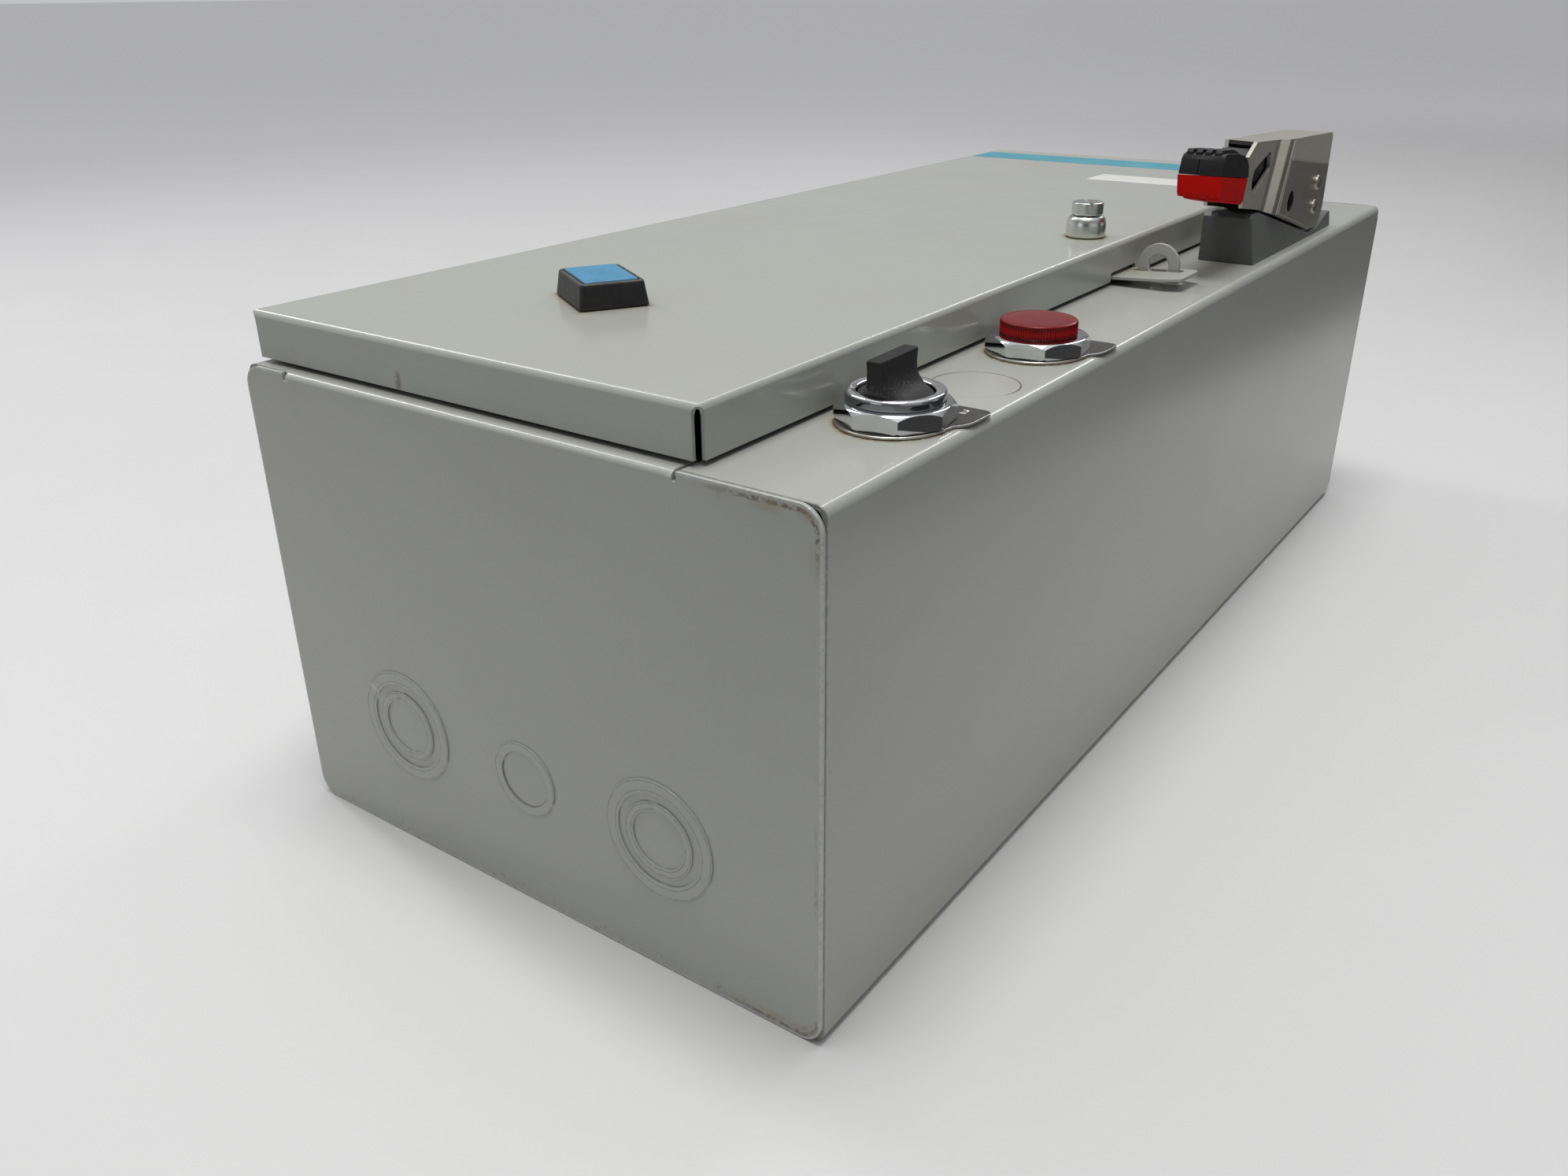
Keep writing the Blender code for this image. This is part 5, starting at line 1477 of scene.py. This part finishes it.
black = grip(
    "grip_upper_half",
    "handle_grip_black",
    [(357.0, grip_line(357.0) + 0.15), (397.6, grip_line(397.6) + 0.15), (397.2, 254.5), (394.5, 257.6), (390.0, 260.0), (380.0, 262.2), (362.5, 263.6), (359.8, 262.9), (358.2, 260.8)],
    GRIP_BLACK,
    "black_plastic",
    (11.2, 247.0),
    (10.1, 266.0),
    [(359.4, 260.6), (360.0, 264.2), (361.6, 265.5), (378.0, 264.3), (386.5, 262.2), (387.2, 259.0)],
    (-7.4, -2.9, 1.7, 6.4),
)
# A black block inside the channel, standing in for the shade seen through the window and under the web's end.
shade_block = [(396.0, 252.6), (405.0, 252.6), (405.0, 244.5), (439.0, 244.5), (439.0, 259.6), (409.0, 261.4), (400.0, 259.4), (396.0, 256.0)]
join(black, prism("u", [(fb(y), z) for y, z in shade_block], hx - 7.55, hx + 7.2, "x"))
cut(black, box("c", (hx - 1.75, fb(350), 245.0), (hx - 1.35, fb(358.6), 262.0)))
show(black, "handle", "handle_grip_black", slot="black_plastic", angle=30.0, bevel=0.55, segments=3)
red = grip(
    "grip_lower_half",
    "handle_grip_red",
    [(357.0, grip_line(357.0) - 0.15), (357.7, 245.2), (359.2, 243.4), (372.0, 241.2), (394.0, 237.4), (396.0, 238.2), (397.6, grip_line(397.6) - 0.15)],
    GRIP_RED,
    "red_plastic",
    (10.2, 236.0),
    (11.2, 255.0),
    [(359.6, 245.0), (360.2, 242.4), (372.0, 240.1), (394.0, 236.4), (395.5, 239.0)],
    (-6.6, -3.2, 4.4, 8.6),
)
show(red, "handle", "handle_grip_red", slot="red_plastic", angle=30.0, bevel=0.4, segments=3)
for where, (y, z) in SCREWS.items():
    head = lathe(
        f"lever_screw_{where}",
        (fb(y), z),
        [(0, hx + 9.3), (2.6, hx + 9.3), (2.6, hx + 11.0), (1.7, hx + 11.0), (1.7, hx + 13.75), (4.0, hx + 13.75)]
        + bent([(4.15, hx + 14.3), (3.8, hx + 15.2), (2.8, hx + 15.85), (1.4, hx + 16.1), (0.0, hx + 16.15)], 4),
        40,
        SCREW_NICKEL,
        "x",
    )
    cut(head, turned(box("c", (hx + 15.1, fb(y) - 0.5, z - 5), (hx + 17, fb(y) + 0.5, z + 5)), (hx, fb(y), z), 25.0, "X"))
    show(head, "handle", f"handle_screw_{where}", slot="zinc_plate")

# --------------------------------------------------------- solids kept as made
for node in ("reset_rod", "reset_guide_nut", "handle_pivot_pin", "drive_crank", "drive_link", "crossbar_arm", "mounting_pan"):
    dress(node, ZINC, 0.25)
for index in range(1, 5):
    dress(f"pan_screw_{index}", ZINC, 0.2)
for node in ("selector_contact_block", "switch_base", "switch_crossbar", "contactor_base", "contactor_armature", "overload_relay"):
    dress(node, PHENOLIC, 0.5)
dress("pilot_lamp_body", PHENOLIC, 0.0)
for pole in POLES:
    dress(f"switch_blade_{pole}", COPPER, 0.25)
    dress(f"line_jaw_{pole}", COPPER, 0.25)
dress("ground_lug", COPPER, 0.3)
dress("overload_reset_plunger", GRIP_RED, 0.3)


def screw_head(x, y, z, radius, height, turn, way=1.0):
    """A slotted pan head standing on a surface."""
    profile = [(0, z), (radius, z), (radius, z + way * height * 0.45)]
    profile += bent([(radius * 0.97, z + way * height * 0.62), (radius * 0.8, z + way * height * 0.88), (radius * 0.5, z + way * height)], 4)
    profile += [(0, z + way * height)]
    made = lathe("head", (x, y), profile, 28, ZINC)
    low, high = sorted((z + way * height * 0.55, z + way * (height + 2)))
    return cut(made, turned(box("c", (x - radius - 1, y - radius * 0.13, low), (x + radius + 1, y + radius * 0.13, high)), (x, y, 0), turn))


def hardware(name, body, pieces):
    made = merge(*pieces)
    made.name = name
    return show(made, body, angle=30.0, bevel=0.12)


STARTER_POLES = (-44.0, -17.0, 10.0)
clamps = []
for i, x in enumerate(STARTER_POLES):
    for y0, y1, plate_z, top_z in ((137.0, 145.6, 52.3, 0.0), (216.4, 225.4, 52.3, 61.6)):
        clamps.append(plate("strap", rounded(x, fb((y0 + y1) / 2), 14.0, y1 - y0, 1.2, 3), plate_z, plate_z + 1.6, 0.2, mat=ZINC))
        if top_z:
            clamps.append(plate("clamp", rounded(x, fb((y0 + y1) / 2), 13.0, y1 - y0 - 0.6, 1.2, 3), top_z, top_z + 1.8, 0.25, mat=ZINC))
        clamps.append(screw_head(x, fb((y0 + y1) / 2), (top_z or plate_z) + 1.6, 3.7, 3.2, 25.0 + 50.0 * i + y0))
hardware("contactor_terminals", "enclosure", clamps)
clamps = []
for i, x in enumerate(STARTER_POLES):
    clamps.append(plate("strap", rounded(x, fb(70.8), 14.0, 9.0, 1.2, 3), 44.3, 45.9, 0.2, mat=ZINC))
    clamps.append(screw_head(x, fb(70.8), 45.7, 3.7, 3.2, 70.0 - 35.0 * i))
hardware("overload_terminals", "enclosure", clamps)
hardware(
    "switch_line_screws",
    "enclosure",
    [screw_head(x, fb(607.4), 55.0, 3.1, 2.8, 15.0 + 40.0 * i) for i, x in enumerate(POLES.values())]
    + [screw_head(x, fb(y), 50.0, 4.2, 3.0, 30.0 + x + y) for x in (-84.0, 54.0) for y in (480.0, 600.0)],
)
dial = lathe("overload_dial", (6.0, fb(103.0)), [(0, 80.1), (8.4, 80.1), (8.4, 81.0)] + bent([(8.1, 81.5), (7.4, 81.7), (6.6, 81.7)], 3) + [(6.2, 81.3), (0, 81.3)], 48, GRIP_BLACK)
join(dial, turned(box("u", (-0.2, fb(101.7), 80.5), (12.2, fb(104.3), 83.0)), (6.0, fb(103.0), 0.0), 38.0))
show(dial, "enclosure", angle=30.0, bevel=0.2)
ticks = []
for i in range(9):
    angle = math.radians(-30.0 + 30.0 * i)
    spot = (6.0 + 10.4 * math.cos(angle), fb(103.0) + 10.4 * math.sin(angle))
    ticks.append(turned(box("tick", (spot[0] - 1.0, spot[1] - 0.22, 80.02), (spot[0] + 1.0, spot[1] + 0.22, 80.10), PRINT), (*spot, 0.0), math.degrees(angle)))
ticks = merge(*ticks)
ticks.name = "overload_dial_marks"
show(ticks, "enclosure")
carrier = plate("armature_face", rounded(-17.0, fb(181.0), 46.0, 40.0, 2.0, 4), 90.02, 91.6, 0.4, mat=PHENOLIC)
for x in STARTER_POLES:
    cut(carrier, prism("c", rounded(x * 0.55 - 7.65, fb(181.0), 5.0, 32.0, 1.2, 4), 90.8, 95.0))
show(carrier, "armature", angle=30.0, bevel=0.15)
for where, y, low in (("selector", SELECTOR_Y, 160.0), ("pilot", PILOT_Y, 156.0)):
    hardware(
        f"{where}_block_screws",
        "enclosure",
        [screw_head(CONTROL_X + u * 14.2, fb(y) + v * 16.4, low, 2.1, 2.0, 40.0 * u + 20.0 * v, -1.0) for u in (-1, 1) for v in (-1, 1)],
    )


def tube(name, points, radius, sides, mat):
    """A round wire through points that run mostly along Y."""
    bm = bmesh.new()
    rows = []
    for i, point in enumerate(points):
        ahead = (Vector(points[min(i + 1, len(points) - 1)]) - Vector(points[max(i - 1, 0)])).normalized()
        one = ahead.cross(Vector((0, 0, 1))).normalized()
        two = one.cross(ahead)
        rows.append(
            [
                bm.verts.new((Vector(point) + (one * math.cos(2 * math.pi * k / sides) + two * math.sin(2 * math.pi * k / sides)) * radius) * MM)
                for k in range(sides)
            ]
        )
    bm.faces.new(rows[0])
    bm.faces.new(rows[-1])
    for one, two in zip(rows, rows[1:]):
        for k in range(sides):
            j = (k + 1) % sides
            bm.faces.new((one[k], one[j], two[j], two[k]))
    return obj_from(bm, name, mat)


for pole, start, stop in (("a", -65.0, -44.0), ("b", -15.0, -17.0), ("c", 35.0, 10.0)):
    route = []
    for i in range(65):
        t = i / 64
        blend = t * t * (3 - 2 * t)
        route.append((start + (stop - start) * blend, fb(469.4 - 250.4 * t), 40.0 + 18.0 * blend + 12.0 * math.sin(math.pi * t) ** 2))
    show(tube(f"lead_{pole}", route, 3.2, 24, WIRE), "enclosure", f"power_lead_{pole}", slot="wire_black", angle=40.0)

# ----------------------------------------------------------- floor and lights
def floor():
    bm = bmesh.new()
    bmesh.ops.create_grid(bm, x_segments=1, y_segments=1, size=60.0)
    for vert in bm.verts:
        vert.co.z = -0.0004
    made = obj_from(bm, "floor")
    skin = Skin("floor_paper", (0.60, 0.60, 0.602), 0.55)
    away = (skin.x * skin.x + skin.y * skin.y).root()
    side = (skin.x * 0.45 + skin.y * 0.89) / (away + 1.0)
    near = away.step(900.0, 350.0)
    # Paler with distance, and darker at middle distance behind on the right: painted light and painted shade on the
    # floor.
    skin.coat((0.80, 0.80, 0.815), away.step(450.0, 2400.0) * side.step(0.95, 0.45))
    skin.coat((0.50, 0.50, 0.50), away.step(700.0, 1700.0) * side.step(0.86, 1.0))
    skin.coat((0.86, 0.86, 0.875), away.step(1700.0, 4200.0) * 0.8)
    skin.coat((0.60, 0.60, 0.605), skin.noise(60.0, 3.0).step(0.4, 0.75) * near * 0.25)
    skin.coat((0.50, 0.495, 0.48), skin.noise(9.0, 5.0, 0.65).step(0.66, 0.8) * near * 0.25)
    skin.rough(skin.noise(90.0, 3.0, offset=(1, 1, 1)).span(0.45, 0.65))
    skin.raise_by(skin.noise(1.5, 2.0) * 0.01)
    made.data.materials.append(skin.done())


floor()


def shade_cards():
    """Dark cards laid on the floor beside the picture, to keep its bounce off the sides; the camera never sees them."""
    bm = bmesh.new()
    bmesh.ops.create_grid(bm, x_segments=1, y_segments=1, size=6.0)
    for vert in bm.verts:
        vert.co.z = 0.0002
    made = obj_from(bm, "shade_cards")
    skin = Skin("card_black", (0.012, 0.012, 0.012), 0.8)
    x, y = skin.x, skin.y
    right = (x - y * 0.35).step(450.0, 780.0) * y.step(700.0, 200.0) * 0.57
    far = (x + y * 0.1157).step(352.0, 405.0) * y.step(-150.0, 150.0) * 0.96
    front = y.step(-570.0, -950.0) * 0.41
    beside = x.step(590.0, 660.0) * x.step(1130.0, 1060.0) * y.step(-580.0, -520.0) * y.step(40.0, -20.0)
    before = abs(x).step(300.0, 220.0) * y.step(-1200.0, -1120.0) * y.step(-690.0, -770.0) * 0.80
    cover = right
    for more in (far, front, beside, before):
        cover = cover.math("MAXIMUM", more)
    skin.coat((0.016, 0.016, 0.016), skin.noise(40.0, 3.0))
    mat = skin.done()
    side = skin.tree.nodes.new("ShaderNodeNewGeometry")
    cover = cover * (1.0 - Num(skin.tree, side.outputs["Backfacing"]))
    clear = skin.tree.nodes.new("ShaderNodeBsdfTransparent")
    pick = skin.tree.nodes.new("ShaderNodeMixShader")
    skin.tree.links.new(cover.socket, pick.inputs[0])
    skin.tree.links.new(clear.outputs[0], pick.inputs[1])
    skin.tree.links.new(skin.shader.outputs[0], pick.inputs[2])
    skin.tree.links.new(pick.outputs[0], skin.tree.nodes["Material Output"].inputs["Surface"])
    made.data.materials.append(mat)
    made.visible_camera = False
    made.visible_shadow = False


shade_cards()


def soft_light(name, spot, aim, width, height, watts, colour=(1.0, 1.0, 1.0)):
    lamp = bpy.data.lights.new(name, "AREA")
    lamp.shape = "RECTANGLE"
    lamp.size, lamp.size_y = width, height
    lamp.energy = watts
    lamp.color = colour
    made = bpy.data.objects.new(name, lamp)
    SCENE.collection.objects.link(made)
    made.location = spot
    made.rotation_euler = (Vector(aim) - Vector(spot)).to_track_quat("-Z", "Y").to_euler()
    return made


soft_light("key", (0.08, -0.30, 2.2), (0.0, 0.0, 0.1), 0.8, 0.8, 30.0, (1.0, 0.99, 0.97))
soft_light("left_strip", (-1.42, -0.12, 1.50), (0.0, -0.25, 0.2), 0.18, 1.00, 7.5)
soft_light("back_strip", (0.10, 1.80, 1.60), (0.1, -0.2, 0.2), 0.20, 1.10, 5.5)


def sky():
    """A soft dome: bright overhead, pale behind the object, dim behind the camera."""
    world = bpy.data.worlds.new("studio")
    SCENE.world = world
    world.use_nodes = True
    tree = world.node_tree
    back = tree.nodes["Background"]
    out = tree.nodes["World Output"]
    coords = tree.nodes.new("ShaderNodeTexCoord")
    split = tree.nodes.new("ShaderNodeSeparateXYZ")
    tree.links.new(coords.outputs["Generated"], split.inputs[0])
    x, y, z = (Num(tree, s) for s in split.outputs)
    up = z.above(0.0)
    behind = (x * -0.92 + y * 0.39).step(0.0, 0.9)
    turn = x.math("ARCTAN2", y * -1.0)
    low = up.step(0.46, 0.16)

    def pane(degrees, half, soft, strength):
        return turn.line(math.radians(degrees), math.radians(half), math.radians(soft)) * strength

    # Mirrored once, not thrown on from the nuts' facets to the flange.
    path = tree.nodes.new("ShaderNodeLightPath")
    first = 1.0 - Num(tree, path.outputs["Ray Depth"]).step(2.4, 2.6) * Num(tree, path.outputs["Is Glossy Ray"])
    room = pane(-13.0, 9.0, 7.0, 1.0) + pane(66.0, 20.0, 9.0, 0.5) + pane(128.0, 7.0, 4.0, 0.62) * up.step(0.26, 0.12) + pane(-75.0, 30.0, 18.0, 0.2)
    light = up * up * 0.91 + (1.0 - up) ** 3.0 * (behind * 0.46 + 0.03) + room * low * first + 0.02
    tree.links.new(light.socket, back.inputs["Strength"])
    back.inputs["Color"].default_value = (0.985, 0.99, 1.0, 1.0)
    seen = tree.nodes.new("ShaderNodeBackground")
    seen.inputs["Color"].default_value = (0.535, 0.54, 0.565, 1.0)
    pick = tree.nodes.new("ShaderNodeMixShader")
    tree.links.new(path.outputs["Is Camera Ray"], pick.inputs[0])
    tree.links.new(back.outputs[0], pick.inputs[1])
    tree.links.new(seen.outputs[0], pick.inputs[2])
    tree.links.new(pick.outputs[0], out.inputs["Surface"])


sky()

# --------------------------------------------------------------------- camera
lens_data = bpy.data.cameras.new("camera")
lens_data.sensor_fit = "HORIZONTAL"
lens_data.sensor_width = 36.0
lens_data.lens = 29.307
lens_data.clip_start, lens_data.clip_end = 0.01, 200.0
camera = bpy.data.objects.new("camera", lens_data)
SCENE.collection.objects.link(camera)
right, up, back = (
    Vector((0.81303585, 0.5821547, -0.00828295)),
    Vector((-0.2416049, 0.3503004, 0.90494017)),
    Vector((0.52971669, -0.7337476, 0.42545821)),
)
turn = Matrix((right, up, back)).transposed().to_4x4()
camera.matrix_world = Matrix.Translation((0.32809, -0.61047, 0.33732)) @ turn
SCENE.camera = camera
SCENE.view_settings.view_transform = "Standard"
SCENE.view_settings.look = "None"
SCENE.view_settings.exposure = 0.0
SCENE.view_settings.gamma = 1.0

bpy.context.view_layer.update()
